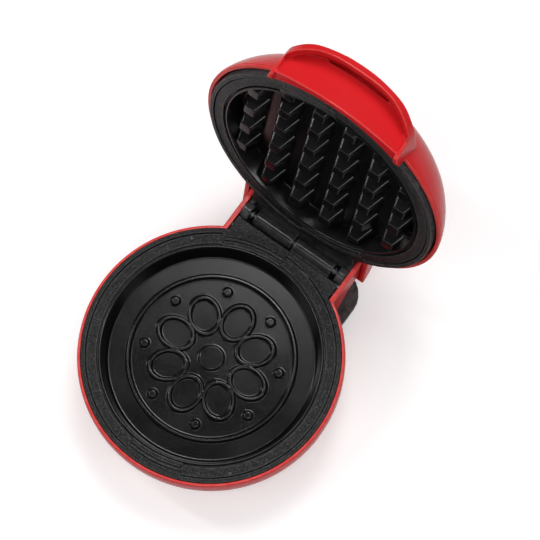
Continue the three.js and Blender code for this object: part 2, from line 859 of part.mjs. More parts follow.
function lowerLeads() {
  const blockSide = blockLength / 2 + clearance;
  const fuseSide = fuseLength / 2 + clearance;
  const atBlock = (side) => [
    [side * blockSide, blockBack, blockMiddle],
    [side * (blockSide + leadSpread), blockBack, blockMiddle],
  ];
  const atFuse = (side) => [
    [side * fuseSide, fuseBack, fuseHeight],
    [side * (fuseSide + leadSpread), fuseBack, fuseHeight],
  ];
  const below = ([x, y], height) => [
    [x, y, height],
    [x, y, height - leadSpread],
  ];
  const [pinRight, pinLeft] = heaterPinEnds.map((place) => below(place, lowerPinEnd));
  const thermostatSide = (side) => below([side * leadSpread, 0], thermostatEnd);
  return {
    lead_block_to_fuse: lead(...atBlock(1), ...atFuse(1).reverse()),
    lead_fuse_to_thermostat: lead(...atFuse(-1), ...thermostatSide(-1).reverse()),
    lead_thermostat_to_heater: lead(...thermostatSide(1), ...pinRight.reverse()),
    lead_heater_to_block: lead(...atBlock(-1), ...pinLeft.reverse()),
  };
}

// The domed lid, its hollow neck over the hinge, and the lens on its crown
function dome(growth, bottom) {
  const curve = [...Array(curveSteps + 3).keys()].map((i) => {
    const turn = (Math.PI / 2) * (i / (curveSteps + 2));
    return [
      (lidRadius + growth) * Math.cos(turn) ** (2 / lidSideExponent),
      rise(lidSpring) + (lidCrown + growth) * Math.sin(turn) ** (2 / lidTopExponent),
    ];
  });
  curve.at(-1)[0] = 0;
  return turned([[0, bottom], [lidRadius + growth, bottom], ...curve]);
}

function lidNeck(radius, halfWidth, frontLow, rearLow) {
  const rearDegrees = THREE.MathUtils.radToDeg(Math.asin((rearLow - hingeHeight) / radius));
  return swept(
    [
      [lidNeckFront, frontLow],
      ...arc(radius, rearDegrees, 90, curveSteps, hingeAxis),
      [lidNeckFront, hingeHeight + radius],
    ],
    -halfWidth,
    halfWidth,
  );
}

const crown = rise(lidSpring + lidCrown);

function lidShell() {
  const outer = join(
    dome(0, rise(lidEdge)),
    lidNeck(lidNeckRadius, lidNeckHalfWidth, rise(lidNeckFrontRise), rise(lidNeckRearRise)),
  );
  const inner = join(
    dome(-lidWall, rimHeight),
    lidNeck(lidNeckRadius - lidWall, lidNeckHalfWidth - lidNeckWall, hingeHeight, hingeHeight),
  );
  const places = [-handleScrewSpread, handleScrewSpread].map((x) => [x, rise(handleScrewRise)]);
  const padEnds = [-lidRadius, -handleScrewHeadAt - clearance];
  const pads = places.map((place) => rodAlongY(handlePadRadius, padEnds, place));
  const fixings = join(...lugs(upperAt, lidRadius - lidWall / 2), ...pads);
  const within = fixings.intersect(dome(-lidWall / 2, rimHeight));
  const bores = places.map((place) =>
    rodAlongY(coverScrewRadius + clearance, [-browFront, -cavityFloorRadius], place),
  );
  const lensHole = post(lensStem + clearance, [crown - lensStemLength, crown + overrun], [0, 0], pinSteps);
  return cut(join(cut(outer, inner), within), ...bores, lensHole);
}

function lens() {
  return turned(
    [
      [0, crown + clearance + lensRise],
      [lensRadius / 2, crown + clearance + lensRise * Math.cos(Math.PI / 6)],
      [lensRadius, crown + clearance],
      [lensStem, crown + clearance],
      [lensStem, crown - lensStemLength],
      [lampRadius + clearance, crown - lensStemLength],
      [lampRadius + clearance, crown - lidWall / 2],
      [0, crown - lidWall / 2],
    ],
    pinSteps,
  );
}

const lampTop = crown - lidWall / 2 - clearance;

function lampLead(side) {
  const [x, y] = heaterPinEnds[side > 0 ? 0 : 1];
  const start = upperAt(pinDepth(upperCavityDepth)) + clearance;
  const end = lampTop - lampLength - clearance;
  const foot = side * (lampRadius - leadRadius + clearance);
  return lead([x, y, start], [x, y, start + leadSpread], [foot, 0, end - leadSpread], [foot, 0, end]);
}

// The handle: a brow over a finger pocket, a face against the dome, and side walls with tabs
function alongShares(shares, halfWidth, height) {
  return shares.map(([a, b]) => [a * halfWidth, b * height]);
}

function handle() {
  const low = rise(-tabLow);
  const high = crown;
  const plan = (halfWidth, reach) => {
    const side = alongShares(browPlanShares, halfWidth, -reach);
    return bothSides([...side, [halfWidth, -browBack]].reverse());
  };
  const under = (shares, height, climb) => {
    const line = alongShares(shares, handleHalfWidth, height).map(([x, z]) => [x, rise(z)]);
    const [edge] = line.at(-1);
    const outline = bothSides([...line, [edge, low - overrun]].reverse());
    return carried(outline, -browFront, -browBack, climb);
  };
  const roofed = under(browTopShares, browTop, browRise);
  const body = raised(plan(handleHalfWidth, browFront), low, high).intersect(roofed);

  const faceCurve = [...Array(2 * smallSteps + 1).keys()].map((i) => {
    const share = i / smallSteps - 1;
    return [share * faceHalfWidth, -faceFront + (faceFront - faceEndFront) * share ** 2];
  });
  const ahead = [...faceCurve, [faceHalfWidth, -browFront - overrun], [-faceHalfWidth, -browFront - overrun]];
  const behind = [...faceCurve, [faceHalfWidth, 0], [-faceHalfWidth, 0]];
  const belowLip = raised(ahead, low - overrun, high).intersect(under(browLipShares, browLip, 0));
  const pocketRoof = roofed.translate([0, 0, -browRoof]);
  const pocket = raised(plan(handleHalfWidth - browWall, browFront - browWall), low - overrun, high)
    .intersect(pocketRoof)
    .subtract(raised(behind, low - overrun, rise(faceTop)));

  const underFace = block([-faceHalfWidth, faceHalfWidth], [-browFront, 0], [low - overrun, rise(-faceLow)]);
  const tabEnds = [faceHalfWidth, handleHalfWidth + overrun];
  const tabCuts = [tabEnds, [-tabEnds[1], -tabEnds[0]]].flatMap((ends) => [
    swept(
      [
        [-browFront - overrun, low - overrun],
        [-tabFront, low - overrun],
        [-tabFront, low],
        [-tabRootFront, rise(tabRootRise)],
        [-browFront - overrun, rise(tabRootRise)],
      ],
      ...ends,
    ),
    swept(
      [
        [-tabBack, low - overrun],
        [-tabBack, low],
        [-browBack + overrun, rise(tabRearRise)],
        [-browBack + overrun, low - overrun],
      ],
      ...ends,
    ),
  ]);
  const screws = [-handleScrewSpread, handleScrewSpread].map((x) =>
    rodAlongY(coverScrewRadius + clearance, [-handleScrewTip - clearance, 0], [x, rise(handleScrewRise)]),
  );
  const base = post(housingRadius + clearance, [low - overrun, rise(lidEdge)], [0, 0], roundSteps);
  return cut(
    body,
    belowLip,
    pocket,
    underFace,
    ...tabCuts,
    dome(clearance, rise(lidEdge) - clearance),
    base,
    ...screws,
  );
}

function handleScrew(x) {
  const head = [-handleScrewHeadAt, coverScrewHeadHeight - handleScrewHeadAt];
  const place = [x, rise(handleScrewRise)];
  const shank = [-handleScrewTip, -handleScrewHeadAt + overrun];
  return join(rodAlongY(coverScrewHead, head, place), rodAlongY(coverScrewRadius, shank, place));
}

// The base
const base = new THREE.Group();
base.add(
  piece("lower_housing", lowerHousing(), red),
  piece("lower_rim", lowerRim(), black),
  piece("lower_cook_plate", lowerPlate(), nonstick),
  piece("lower_heater", heater(lowerAt, lowerCavityDepth), sheath),
  piece("lower_shield", shield(lowerAt, lowerCavityDepth), aluminium),
  piece(
    "thermostat",
    post(thermostatRadius, [thermostatTop - thermostatHeight, thermostatTop], [0, 0], pinSteps),
    ceramic,
  ),
  piece(
    "thermal_fuse",
    rodAlongX(fuseRadius, [-fuseLength / 2, fuseLength / 2], [fuseBack, fuseHeight], smallSteps),
    steel,
  ),
  piece(
    "terminal_block",
    block(
      [-blockLength / 2, blockLength / 2],
      [blockBack - blockDepth / 2, blockBack + blockDepth / 2],
      [blockFloor, blockFloor + blockHeight],
    ),
    ceramic,
  ),
  piece("base_cover", baseCover(), black),
  piece("cord_gland", cordGland(), rubber),
  piece("hinge_pin", rodAlongX(pinRadius, pinEnds, hingeAxis), steel),
);
for (const [name, body] of Object.entries(lowerLeads())) base.add(piece(name, body, sleeving));
for (const [i, place] of footPlaces.entries()) {
  const foot = post(rubberRadius, [0, rubberHeight], place, pinSteps);
  base.add(piece(`rubber_foot_${i + 1}`, foot, rubber));
}
for (const [name, side] of [["left", -1], ["right", 1]]) {
  const ends = ordered(side * clipAt, side * (clipAt + clipThickness));
  const ring = rodAlongX(clipRadius, ends, hingeAxis);
  const bore = rodAlongX(pinRadius + clearance, [-neckHalfWidth, neckHalfWidth], hingeAxis);
  base.add(piece(`pin_clip_${name}`, cut(ring, bore), steel));
}
for (const [i, degrees] of coverScrewDegrees.entries())
  base.add(piece(`cover_screw_${i + 1}`, coverScrew(degrees), steel));
for (const [i, degrees] of lugDegrees.entries())
  base.add(piece(`lower_rim_screw_${i + 1}`, rimScrew(lowerAt, degrees), steel));

// The lid, made closed and then swung open about the hinge
const lid = new THREE.Group();
lid.add(
  piece("lid_shell", lidShell(), red),
  piece("handle", handle(), red),
  piece("upper_rim", upperRim(), black),
  piece("upper_cook_plate", upperPlate(), nonstick),
  piece("upper_heater", heater(upperAt, upperCavityDepth), sheath),
  piece("upper_shield", shield(upperAt, upperCavityDepth), aluminium),
  piece("indicator_lens", lens(), amber),
  piece("indicator_lamp", post(lampRadius, [lampTop - lampLength, lampTop]), ceramic),
  piece("lamp_lead_left", lampLead(-1), sleeving),
  piece("lamp_lead_right", lampLead(1), sleeving),
  piece("handle_screw_left", handleScrew(-handleScrewSpread), steel),
  piece("handle_screw_right", handleScrew(handleScrewSpread), steel),
);
for (const [i, degrees] of lugDegrees.entries())
  lid.add(piece(`upper_rim_screw_${i + 1}`, rimScrew(upperAt, degrees), steel));
lid.position.set(0, -hingeBack, -hingeHeight);

const hinge = new THREE.Group();
hinge.position.set(0, ...hingeAxis);
hinge.rotation.x = -radians(openDegrees);
hinge.add(lid);

const wafflePress = new THREE.Group();
wafflePress.add(base, hinge);

export default wafflePress;
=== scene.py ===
import math
import bmesh
import bpy
import numpy as np
from mathutils import Matrix, Vector


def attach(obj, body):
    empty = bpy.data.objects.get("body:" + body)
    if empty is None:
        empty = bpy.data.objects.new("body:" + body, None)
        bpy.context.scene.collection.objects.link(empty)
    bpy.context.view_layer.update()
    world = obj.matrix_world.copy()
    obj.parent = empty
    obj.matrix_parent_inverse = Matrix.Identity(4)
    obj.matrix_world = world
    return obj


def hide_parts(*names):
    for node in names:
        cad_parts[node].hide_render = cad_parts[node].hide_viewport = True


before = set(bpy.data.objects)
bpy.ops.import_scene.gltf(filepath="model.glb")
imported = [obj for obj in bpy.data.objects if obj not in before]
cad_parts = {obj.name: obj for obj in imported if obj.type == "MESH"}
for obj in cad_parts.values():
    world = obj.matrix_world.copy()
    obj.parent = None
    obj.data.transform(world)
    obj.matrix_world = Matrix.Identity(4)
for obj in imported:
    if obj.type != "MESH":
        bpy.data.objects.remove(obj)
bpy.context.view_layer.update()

# ---------------------------------------------------------------------------------------------
# The view: a long lens high over the front right corner, a metre and a half from the open waffle
# maker, looking down on it and rolled a few degrees about its own axis.
# ---------------------------------------------------------------------------------------------
view_azimuth, view_elevation, view_roll = (math.radians(a) for a in (41.56, 76.02, -5.81))
lens_place = np.array([0.2483, -0.2318, 1.5496])
lens_length, sensor_width, view_end = 217.5, 36, 20

backward = np.array([
    math.sin(view_azimuth) * math.cos(view_elevation),
    -math.cos(view_azimuth) * math.cos(view_elevation),
    math.sin(view_elevation),
])
level_right = np.array([math.cos(view_azimuth), math.sin(view_azimuth), 0.0])
level_up = np.cross(backward, level_right)
rolled_right = math.cos(view_roll) * level_right + math.sin(view_roll) * level_up
rolled_up = math.cos(view_roll) * level_up - math.sin(view_roll) * level_right
placing = Matrix.Identity(4)
for column, axis in enumerate((rolled_right, rolled_up, backward, lens_place)):
    for row in range(3):
        placing[row][column] = axis[row]

camera = bpy.data.objects.new("camera", bpy.data.cameras.new("camera"))
camera.data.sensor_width = sensor_width
camera.data.lens = lens_length
camera.data.clip_end = view_end
camera.matrix_world = placing
bpy.context.scene.collection.objects.link(camera)
bpy.context.scene.camera = camera
bpy.context.scene.view_settings.view_transform = "Standard"


# ---------------------------------------------------------------------------------------------
# The table: a wide sheet of matt white card, seamless in the picture, that keeps the soft shadow.
# The camera sees it a little lighter than the lamps alone make it.
# ---------------------------------------------------------------------------------------------
table_half, table_level = 3000, -0.05
card_white, card_glow = 0.8, 0.4


def mesh_of(name, points, faces):
    """A mesh from points in millimetres and faces as rows of indices, with points that coincide
    merged, faces without area dissolved, and the others turned to face out."""
    mesh = bpy.data.meshes.new(name)
    mesh.from_pydata((np.asarray(points, float) / 1000).tolist(), [], [list(map(int, f)) for f in faces])
    work = bmesh.new()
    work.from_mesh(mesh)
    bmesh.ops.remove_doubles(work, verts=work.verts, dist=2e-7)
    bmesh.ops.dissolve_degenerate(work, edges=work.edges, dist=1e-7)
    bmesh.ops.recalc_face_normals(work, faces=work.faces)
    work.to_mesh(mesh)
    work.free()
    mesh.polygons.foreach_set("use_smooth", np.ones(len(mesh.polygons), bool))
    return mesh


def nodes_of(name):
    """A new material with its Principled shader, and a short way to add a node: each value given
    goes to the node's property of that name or, where it has none, to its input."""
    material = bpy.data.materials.new(name)
    material.use_nodes = True
    tree = material.node_tree
    shader = tree.nodes["Principled BSDF"]

    def node(kind, **values):
        made = tree.nodes.new(kind)
        for key, value in values.items():
            if hasattr(made, key):
                setattr(made, key, value)
            else:
                made.inputs[key.replace("_", " ")].default_value = value
        return made

    return material, tree, shader, node


corners = [(x * table_half, y * table_half, table_level) for x, y in ((-1, -1), (1, -1), (1, 1), (-1, 1))]
table = bpy.data.objects.new("table_card", mesh_of("table_card", corners, [(0, 1, 2, 3)]))
bpy.context.scene.collection.objects.link(table)

card, tree, shader, node = nodes_of("white_card")
shader.inputs["Base Color"].default_value = (card_white, card_white, card_white, 1)
shader.inputs["Roughness"].default_value = 0.9
shader.inputs["Specular IOR Level"].default_value = 0.1
rays = node("ShaderNodeLightPath")
seen = node("ShaderNodeMath", operation="MULTIPLY")
seen.inputs[1].default_value = card_glow
shine = node("ShaderNodeEmission", Color=(1, 1, 1, 1))
both = node("ShaderNodeAddShader")
tree.links.new(rays.outputs["Is Camera Ray"], seen.inputs[0])
tree.links.new(seen.outputs[0], shine.inputs["Strength"])
tree.links.new(shader.outputs[0], both.inputs[0])
tree.links.new(shine.outputs[0], both.inputs[1])
tree.links.new(both.outputs[0], tree.nodes["Material Output"].inputs["Surface"])
table.data.materials.append(card)


# ---------------------------------------------------------------------------------------------
# The studio: a dim room, a tall strip lamp at the left whose reflection draws the bright edges,
# and a ring of soft lamps overhead, strongest at the rear left.
# ---------------------------------------------------------------------------------------------
room_light, lit_point = 0.05, np.array([0, 0.04, 0.05])

room = bpy.data.worlds.new("dim_room")
bpy.context.scene.world = room
room.use_nodes = True
room.node_tree.nodes["Background"].inputs["Color"].default_value = (1, 1, 1, 1)
room.node_tree.nodes["Background"].inputs["Strength"].default_value = room_light


def soft_lamp(name, azimuth, elevation, distance, size, watts):
    """A flat lamp of that width and height in metres, facing the waffle maker from a distance, from
    an azimuth counted from the hinge side towards the right and an elevation, both in degrees."""
    turn, rise = math.radians(azimuth), math.radians(elevation)
    away = np.array([math.sin(turn) * math.cos(rise), math.cos(turn) * math.cos(rise), math.sin(rise)])
    lamp = bpy.data.objects.new(name, bpy.data.lights.new(name, "AREA"))
    lamp.data.shape = "RECTANGLE"
    lamp.data.size, lamp.data.size_y = size
    lamp.data.energy = watts
    lamp.rotation_mode = "QUATERNION"
    lamp.rotation_quaternion = Vector(away).to_track_quat("Z", "Y")
    lamp.location = lit_point + distance * away
    bpy.context.scene.collection.objects.link(lamp)


soft_lamp("strip_left", 262, 42, 1.3, (0.08, 1.3), 4.2)
soft_lamp("softbox_front_left", 222, 44, 1.4, (0.5, 0.5), 2.4)
soft_lamp("softbox_front", 170, 62, 1.4, (0.6, 0.5), 2.0)
soft_lamp("softbox_rear", 0, 64, 1.4, (0.6, 0.5), 2.0)
soft_lamp("softbox_rear_left", 335, 66, 1.4, (0.4, 0.4), 5.2)
soft_lamp("softbox_rear_right", 50, 64, 1.4, (0.5, 0.5), 1.2)
soft_lamp("softbox_right", 88, 36, 1.4, (0.4, 0.4), 2.8)
soft_lamp("softbox_front_right", 132, 73, 1.4, (0.5, 0.5), 2.8)


# ---------------------------------------------------------------------------------------------
# Lower rim: one black moulding of a textured heat-proof plastic. It is a grooved ring with a
# straight bridge to the hinge, screwed on from below, and it carries the trough and one barrel.
# The trough, the barrel and the hinge's end plates come out of the mould smoother than the ring.
# ---------------------------------------------------------------------------------------------
face_height = 38.0
rim_radius, rim_inner = 62.0, 53.9
band_inner, band_outer, groove_outer = 54.5, 59.3, 59.9
groove_depth, band_depth, step_width = 1.5, 0.4, 0.22
hairlines, hairline_half, hairline_depth = (56.3, 58.0), 0.3, 0.7
land_middle, land_half, land_corner, land_edge = 56.9, 1.1, 1.0, 0.25
lower_lands = [(-95.2, -68.8), (90, 119.5)]
bridge_half, bridge_back = 29.3, 62.6
rim_plate, rim_skirt, skirt_wall, rim_fillet = 2.2, 5.5, 2.2, 0.4
hinge_y, hinge_z, lid_swing = 67.9, 34.1, 104.4
trough_radius, trough_wall, trough_lip = 10.4, 1.0, 36.6
plate_inner, plate_outer, plate_radius = 27.5, 29.9, 9.9
boss_inner, boss_radius, boss_edge, pin_bore = 25.6, 4.4, 0.4, 2.3
barrel_start, barrel_end, web_edge = 0.4, 22.7, 0.25
base_web_outline = [(61.8, 36.7), (63.2, 35.5), (64.8, 35.3), (67.9, 34.1), (64.0, 32.2), (61.8, 34.6)]
barrel_profile = np.array([
    (barrel_start, pin_bore), (barrel_start, 3.1), (0.55, 3.55), (0.95, 3.85), (1.5, 3.9),
    (21.9, 3.9), (22.4, 3.75), (barrel_end, 3.3), (barrel_end, pin_bore)])


def grain_group():
    """Object coordinates to a height for bump, which is a fine noise mixed by the share Pits with the
    distance to scattered points, and to Patches, a broad slow noise for gloss and tone."""
    group = bpy.data.node_groups.new("surface_grain", "ShaderNodeTree")
    for name, value in (("Fine", 4000.0), ("Broad", 60.0), ("Pits", 0.0)):
        socket = group.interface.new_socket(name, in_out="INPUT", socket_type="NodeSocketFloat")
        socket.default_value = value
    for name in ("Height", "Patches"):
        group.interface.new_socket(name, in_out="OUTPUT", socket_type="NodeSocketFloat")
    new, link = group.nodes.new, group.links.new
    enter, leave = new("NodeGroupInput"), new("NodeGroupOutput")
    place = new("ShaderNodeTexCoord")
    fine, broad, cells = new("ShaderNodeTexNoise"), new("ShaderNodeTexNoise"), new("ShaderNodeTexVoronoi")
    fine.inputs["Detail"].default_value = 3
    broad.inputs["Detail"].default_value = 4
    for one, size in ((fine, "Fine"), (broad, "Broad"), (cells, "Fine")):
        link(place.outputs["Object"], one.inputs["Vector"])
        link(enter.outputs[size], one.inputs["Scale"])
    blend = new("ShaderNodeMix")
    link(enter.outputs["Pits"], blend.inputs[0])
    link(fine.outputs["Fac"], blend.inputs[2])
    link(cells.outputs["Distance"], blend.inputs[3])
    link(blend.outputs[0], leave.inputs["Height"])
    link(broad.outputs["Fac"], leave.inputs["Patches"])
    return group


def edge_highlight_group():
    """The first output, a painted highlight on outer edges, is Pointiness stretched to 0 on flats and 1 at
    Reach, times a noise that breaks it up. The second, a painted shade, is Pointiness stretched the other
    way, to 1 in inner corners."""
    group = bpy.data.node_groups.new("painted_edge_highlights", "ShaderNodeTree")
    socket = group.interface.new_socket("Reach", in_out="INPUT", socket_type="NodeSocketFloat")
    socket.default_value = 0.57
    for name in ("Edge Highlight", "Crease Shade"):
        group.interface.new_socket(name, in_out="OUTPUT", socket_type="NodeSocketFloat")
    new, link = group.nodes.new, group.links.new
    enter, leave = new("NodeGroupInput"), new("NodeGroupOutput")
    shape, place, noise = new("ShaderNodeNewGeometry"), new("ShaderNodeTexCoord"), new("ShaderNodeTexNoise")
    noise.inputs["Scale"].default_value = 300
    stretch, spots = new("ShaderNodeMapRange"), new("ShaderNodeMath")
    stretch.inputs["From Min"].default_value = 0.5
    spots.operation = "MULTIPLY"
    link(shape.outputs["Pointiness"], stretch.inputs["Value"])
    link(enter.outputs["Reach"], stretch.inputs["From Max"])
    link(place.outputs["Object"], noise.inputs["Vector"])
    link(stretch.outputs["Result"], spots.inputs[0])
    link(noise.outputs["Fac"], spots.inputs[1])
    link(spots.outputs[0], leave.inputs["Edge Highlight"])
    hollow = new("ShaderNodeMapRange")
    hollow.inputs["From Min"].default_value = 0.5
    hollow.inputs["From Max"].default_value = 0.44
    link(shape.outputs["Pointiness"], hollow.inputs["Value"])
    link(hollow.outputs["Result"], leave.inputs["Crease Shade"])
    return group


surface_grain = grain_group()
painted_edge_highlights = edge_highlight_group()


def finish(name, colour, patch_colour, highlight_colour, gloss, patch_gloss, fine, bump, pits=0.0, broad=60.0,
           glint_strength=0.0, crease_shade=0.25, **plain):
    """A material: colour drifts to patch_colour in broad patches. Three marks of light are painted on: a
    painted highlight in the third colour on outer edges, painted glints of that colour on the high points of
    the grain by the share given for them, and a painted shade in inner corners, where the colour falls to the
    given fraction of itself. Roughness goes from gloss to patch_gloss with the patches, and the grain of
    scale fine bumps the surface by bump metres. plain holds values for the shader's own sockets."""
    material, tree, shader, node = nodes_of(name)
    link = tree.links.new
    grain = node("ShaderNodeGroup")
    grain.node_tree = surface_grain
    grain.inputs["Fine"].default_value = fine
    grain.inputs["Broad"].default_value = broad
    grain.inputs["Pits"].default_value = pits
    light_marks = node("ShaderNodeGroup")
    light_marks.node_tree = painted_edge_highlights
    drift = node("ShaderNodeMix", data_type="RGBA")
    drift.inputs[6].default_value = (*colour, 1)
    drift.inputs[7].default_value = (*patch_colour, 1)
    # Painted highlight: outer edges take the pale highlight colour.
    highlighted = node("ShaderNodeMix", data_type="RGBA")
    highlighted.inputs[7].default_value = (*highlight_colour, 1)
    # Painted glints: the grain's high points take the highlight colour.
    glint_mask = node("ShaderNodeMapRange", To_Max=glint_strength)
    glint_mask.inputs["From Min"].default_value = 0.5
    glint_mask.inputs["From Max"].default_value = 0.75
    glinted = node("ShaderNodeMix", data_type="RGBA")
    glinted.inputs[7].default_value = (*highlight_colour, 1)
    # Painted shade: in inner corners the colour falls to a fraction of itself.
    shaded = node("ShaderNodeMix", data_type="RGBA")
    shaded.inputs[7].default_value = (*(crease_shade * c for c in colour), 1)
    rough = node("ShaderNodeMapRange", To_Min=gloss, To_Max=patch_gloss)
    rough.inputs["From Min"].default_value = 0.3
    rough.inputs["From Max"].default_value = 0.7
    relief = node("ShaderNodeBump", Strength=1.0, Distance=bump)
    link(grain.outputs["Patches"], drift.inputs[0])
    link(drift.outputs[2], highlighted.inputs[6])
    link(light_marks.outputs["Edge Highlight"], highlighted.inputs[0])
    link(grain.outputs["Height"], glint_mask.inputs["Value"])
    link(glint_mask.outputs["Result"], glinted.inputs[0])
    link(highlighted.outputs[2], glinted.inputs[6])
    link(light_marks.outputs["Crease Shade"], shaded.inputs[0])
    link(glinted.outputs[2], shaded.inputs[6])
    link(shaded.outputs[2], shader.inputs["Base Color"])
    link(grain.outputs["Patches"], rough.inputs["Value"])
    link(rough.outputs["Result"], shader.inputs["Roughness"])
    link(grain.outputs["Height"], relief.inputs["Height"])
    link(relief.outputs["Normal"], shader.inputs["Normal"])
    for key, value in plain.items():
        shader.inputs[key.replace("_", " ")].default_value = value
    return material


# Both blacks take a painted highlight on outer edges and a painted shade in inner corners; the textured one
# also has painted glints on its grain's high points.
black_plastic = finish(
    "textured_black_plastic", (0.003, 0.003, 0.0032), (0.005, 0.005, 0.0054), (0.17, 0.17, 0.175),
    0.26, 0.34, 1150, 0.0007, pits=0.3, glint_strength=0.34, Specular_IOR_Level=0.24)
smooth_black = finish(
    "smooth_black_plastic", (0.003, 0.003, 0.0032), (0.005, 0.005, 0.0054), (0.12, 0.12, 0.125),
    0.12, 0.18, 2200, 0.00003, pits=0.2, Specular_IOR_Level=0.5)


def eased(x):
    """0 below 0, 1 above 1, and the smooth cubic 3x2 - 2x3 between."""
    x = np.clip(x, 0, 1)
    return x * x * (3 - 2 * x)


def rim_depth(r, degrees, lands):
    """How far the rim's face lies below its outer ring, at a radius and an angle. Going out it is a
    groove, a shallow band, a groove and the ring, with eased steps between. In a land, a run of angles
    whose end has rounded corners, it is flush but for two hairline grooves of a smooth V section."""
    plain = groove_depth * np.ones_like(r)
    for at, change in ((band_inner, band_depth - groove_depth), (band_outer, groove_depth - band_depth),
                       (groove_outer, -groove_depth)):
        plain = plain + change * eased((r - at) / step_width + 0.5)
    lines = sum(hairline_depth * eased(1 - np.abs(r - at) / hairline_half) for at in hairlines)
    off_middle = np.clip(np.abs(r - land_middle) - land_half, 0, land_corner)
    corner = land_corner - np.sqrt(land_corner ** 2 - off_middle ** 2)
    in_land = np.zeros_like(r)
    for start, end in lands:
        inward = np.minimum(degrees - start, end - degrees) * math.radians(1) * land_middle
        in_land = np.maximum(in_land, eased((inward + corner) / land_edge + 0.5))
    return plain * (1 - in_land) + lines * in_land


def rim_grid(lands):
    """The rim as closed sections (x, y, depth) at many angles: the face, then a rounded outer edge, the
    skirt, and the underside. Over the bridge the outer edge is a straight line: bridge_back over the
    angle's sine or bridge_half over its cosine, whichever is nearer. The half-degree steps start off the
    diagonals, because a grid that is symmetrical about them draws false streaks in the painted edge
    highlight."""
    fine = [end + d for land in lands for end in land for d in np.linspace(-1.4, 1.4, 15)]
    corner = math.degrees(math.atan2(bridge_back, bridge_half))
    side = math.degrees(math.acos(bridge_half / rim_radius))
    marks = [corner, 180 - corner, side, 180 - side, side - 0.05, 180 - side + 0.05]
    degrees = np.unique(np.round(np.concatenate([np.arange(-179.875, 180, 0.5), fine, marks]), 4))
    steps = [at + d for at in (band_inner, band_outer, groove_outer)
             for d in (-0.3, -step_width / 2, step_width / 2, 0.3)]
    lines = [at + d for at in hairlines for d in (-0.55, -hairline_half, 0, hairline_half, 0.55)]
    across = np.unique(np.concatenate([[rim_inner, 60.6, 61.2], np.arange(54.2, 61.5, 0.6), steps, lines]))
    angle = np.radians(degrees)[:, None]
    reach = np.full(angle.shape, rim_radius)
    straight = np.minimum(bridge_back / np.maximum(np.sin(angle), 1e-6),
                          bridge_half / np.maximum(np.abs(np.cos(angle)), 1e-6))
    on_bridge = (np.sin(angle) > 0) & (straight > rim_radius)
    reach = np.where(on_bridge, straight, reach)
    skirt = np.where(on_bridge, rim_plate + 0.02, rim_skirt)
    r = np.broadcast_to(across[None, :], (len(degrees), len(across)))
    depth = rim_depth(r, degrees[:, None] + 0 * r, lands)
    fillet = np.radians(np.linspace(0, 90, 5))
    outer_r = reach - rim_fillet + rim_fillet * np.sin(fillet)[None, :]
    outer_d = rim_fillet - rim_fillet * np.cos(fillet)[None, :] + 0 * outer_r
    under_r = np.hstack([reach, reach - 0.3, reach - skirt_wall, reach - skirt_wall, rim_inner + 0 * reach])
    under_d = np.hstack([skirt - 0.3, skirt, skirt, rim_plate + 0 * reach, rim_plate + 0 * reach])
    r = np.hstack([r, outer_r, under_r])
    depth = np.hstack([depth, outer_d, under_d])
    return np.stack([r * np.cos(angle), r * np.sin(angle), depth], axis=-1)


def grid_faces(rows, columns, wrap_rows=True, wrap_columns=True):
    """Quads over a grid of points counted row by row, closed round in either direction."""
    i = np.arange(rows if wrap_rows else rows - 1)[:, None]
    j = np.arange(columns if wrap_columns else columns - 1)[None, :]
    a, b = i * columns + j, i * columns + (j + 1) % columns
    c, d = ((i + 1) % rows) * columns + (j + 1) % columns, ((i + 1) % rows) * columns + j
    return np.stack([a, b, c, d], axis=-1).reshape(-1, 4)


def closed_mesh(name, grid):
    """A torus-like grid, closed both ways, as a mesh."""
    return mesh_of(name, grid.reshape(-1, 3), grid_faces(*grid.shape[:2]))


def bar_mesh(name, section, left, right, edge=0.0, steps=3):
    """A closed outline of (y, z) carried along x from left to right, its end edges rounded by edge:
    towards each end the outline draws in along its own normals on a quarter circle, in a corner by one
    over the cosine of half its turn, and by twice at most."""
    section = np.asarray(section, float)
    before, after = np.roll(section, 1, axis=0), np.roll(section, -1, axis=0)
    one, two = section - before, after - section
    one /= np.linalg.norm(one, axis=1)[:, None]
    two /= np.linalg.norm(two, axis=1)[:, None]
    across = np.stack([-(one + two)[:, 1], (one + two)[:, 0]], axis=1)
    across /= np.linalg.norm(across, axis=1)[:, None]
    half_turn_cosine = np.sum(across * np.stack([-one[:, 1], one[:, 0]], axis=1), axis=1)
    twice_area = np.sum(section[:, 0] * after[:, 1] - section[:, 1] * after[:, 0])
    across *= np.sign(twice_area) / np.clip(half_turn_cosine, 0.5, 1)[:, None]
    t = np.radians(np.linspace(0, 90, steps + 1)) if edge > 0 else np.array([math.pi / 2])
    along, inset = edge * (1 - np.cos(t)), edge * (1 - np.sin(t))
    x = np.concatenate([left + along, right - along[::-1]])
    inset = np.concatenate([inset, inset[::-1]])
    rings = section[None] + inset[:, None, None] * across[None]
    grid = np.concatenate([np.broadcast_to(x[:, None, None], (*rings.shape[:2], 1)), rings], axis=2)
    rows, columns = grid.shape[:2]
    faces = grid_faces(rows, columns, wrap_rows=False).tolist()
    faces += [list(range(columns)), list(range((rows - 1) * columns, rows * columns))]
    return mesh_of(name, grid.reshape(-1, 3), faces)


def arc_points(radius, start, end, steps):
    """Points on a circle round the hinge's axis, from one angle to another in degrees, as (y, z)."""
    a = np.radians(np.linspace(start, end, steps + 1))
    return np.stack([hinge_y + radius * np.cos(a), hinge_z + radius * np.sin(a)], axis=1)


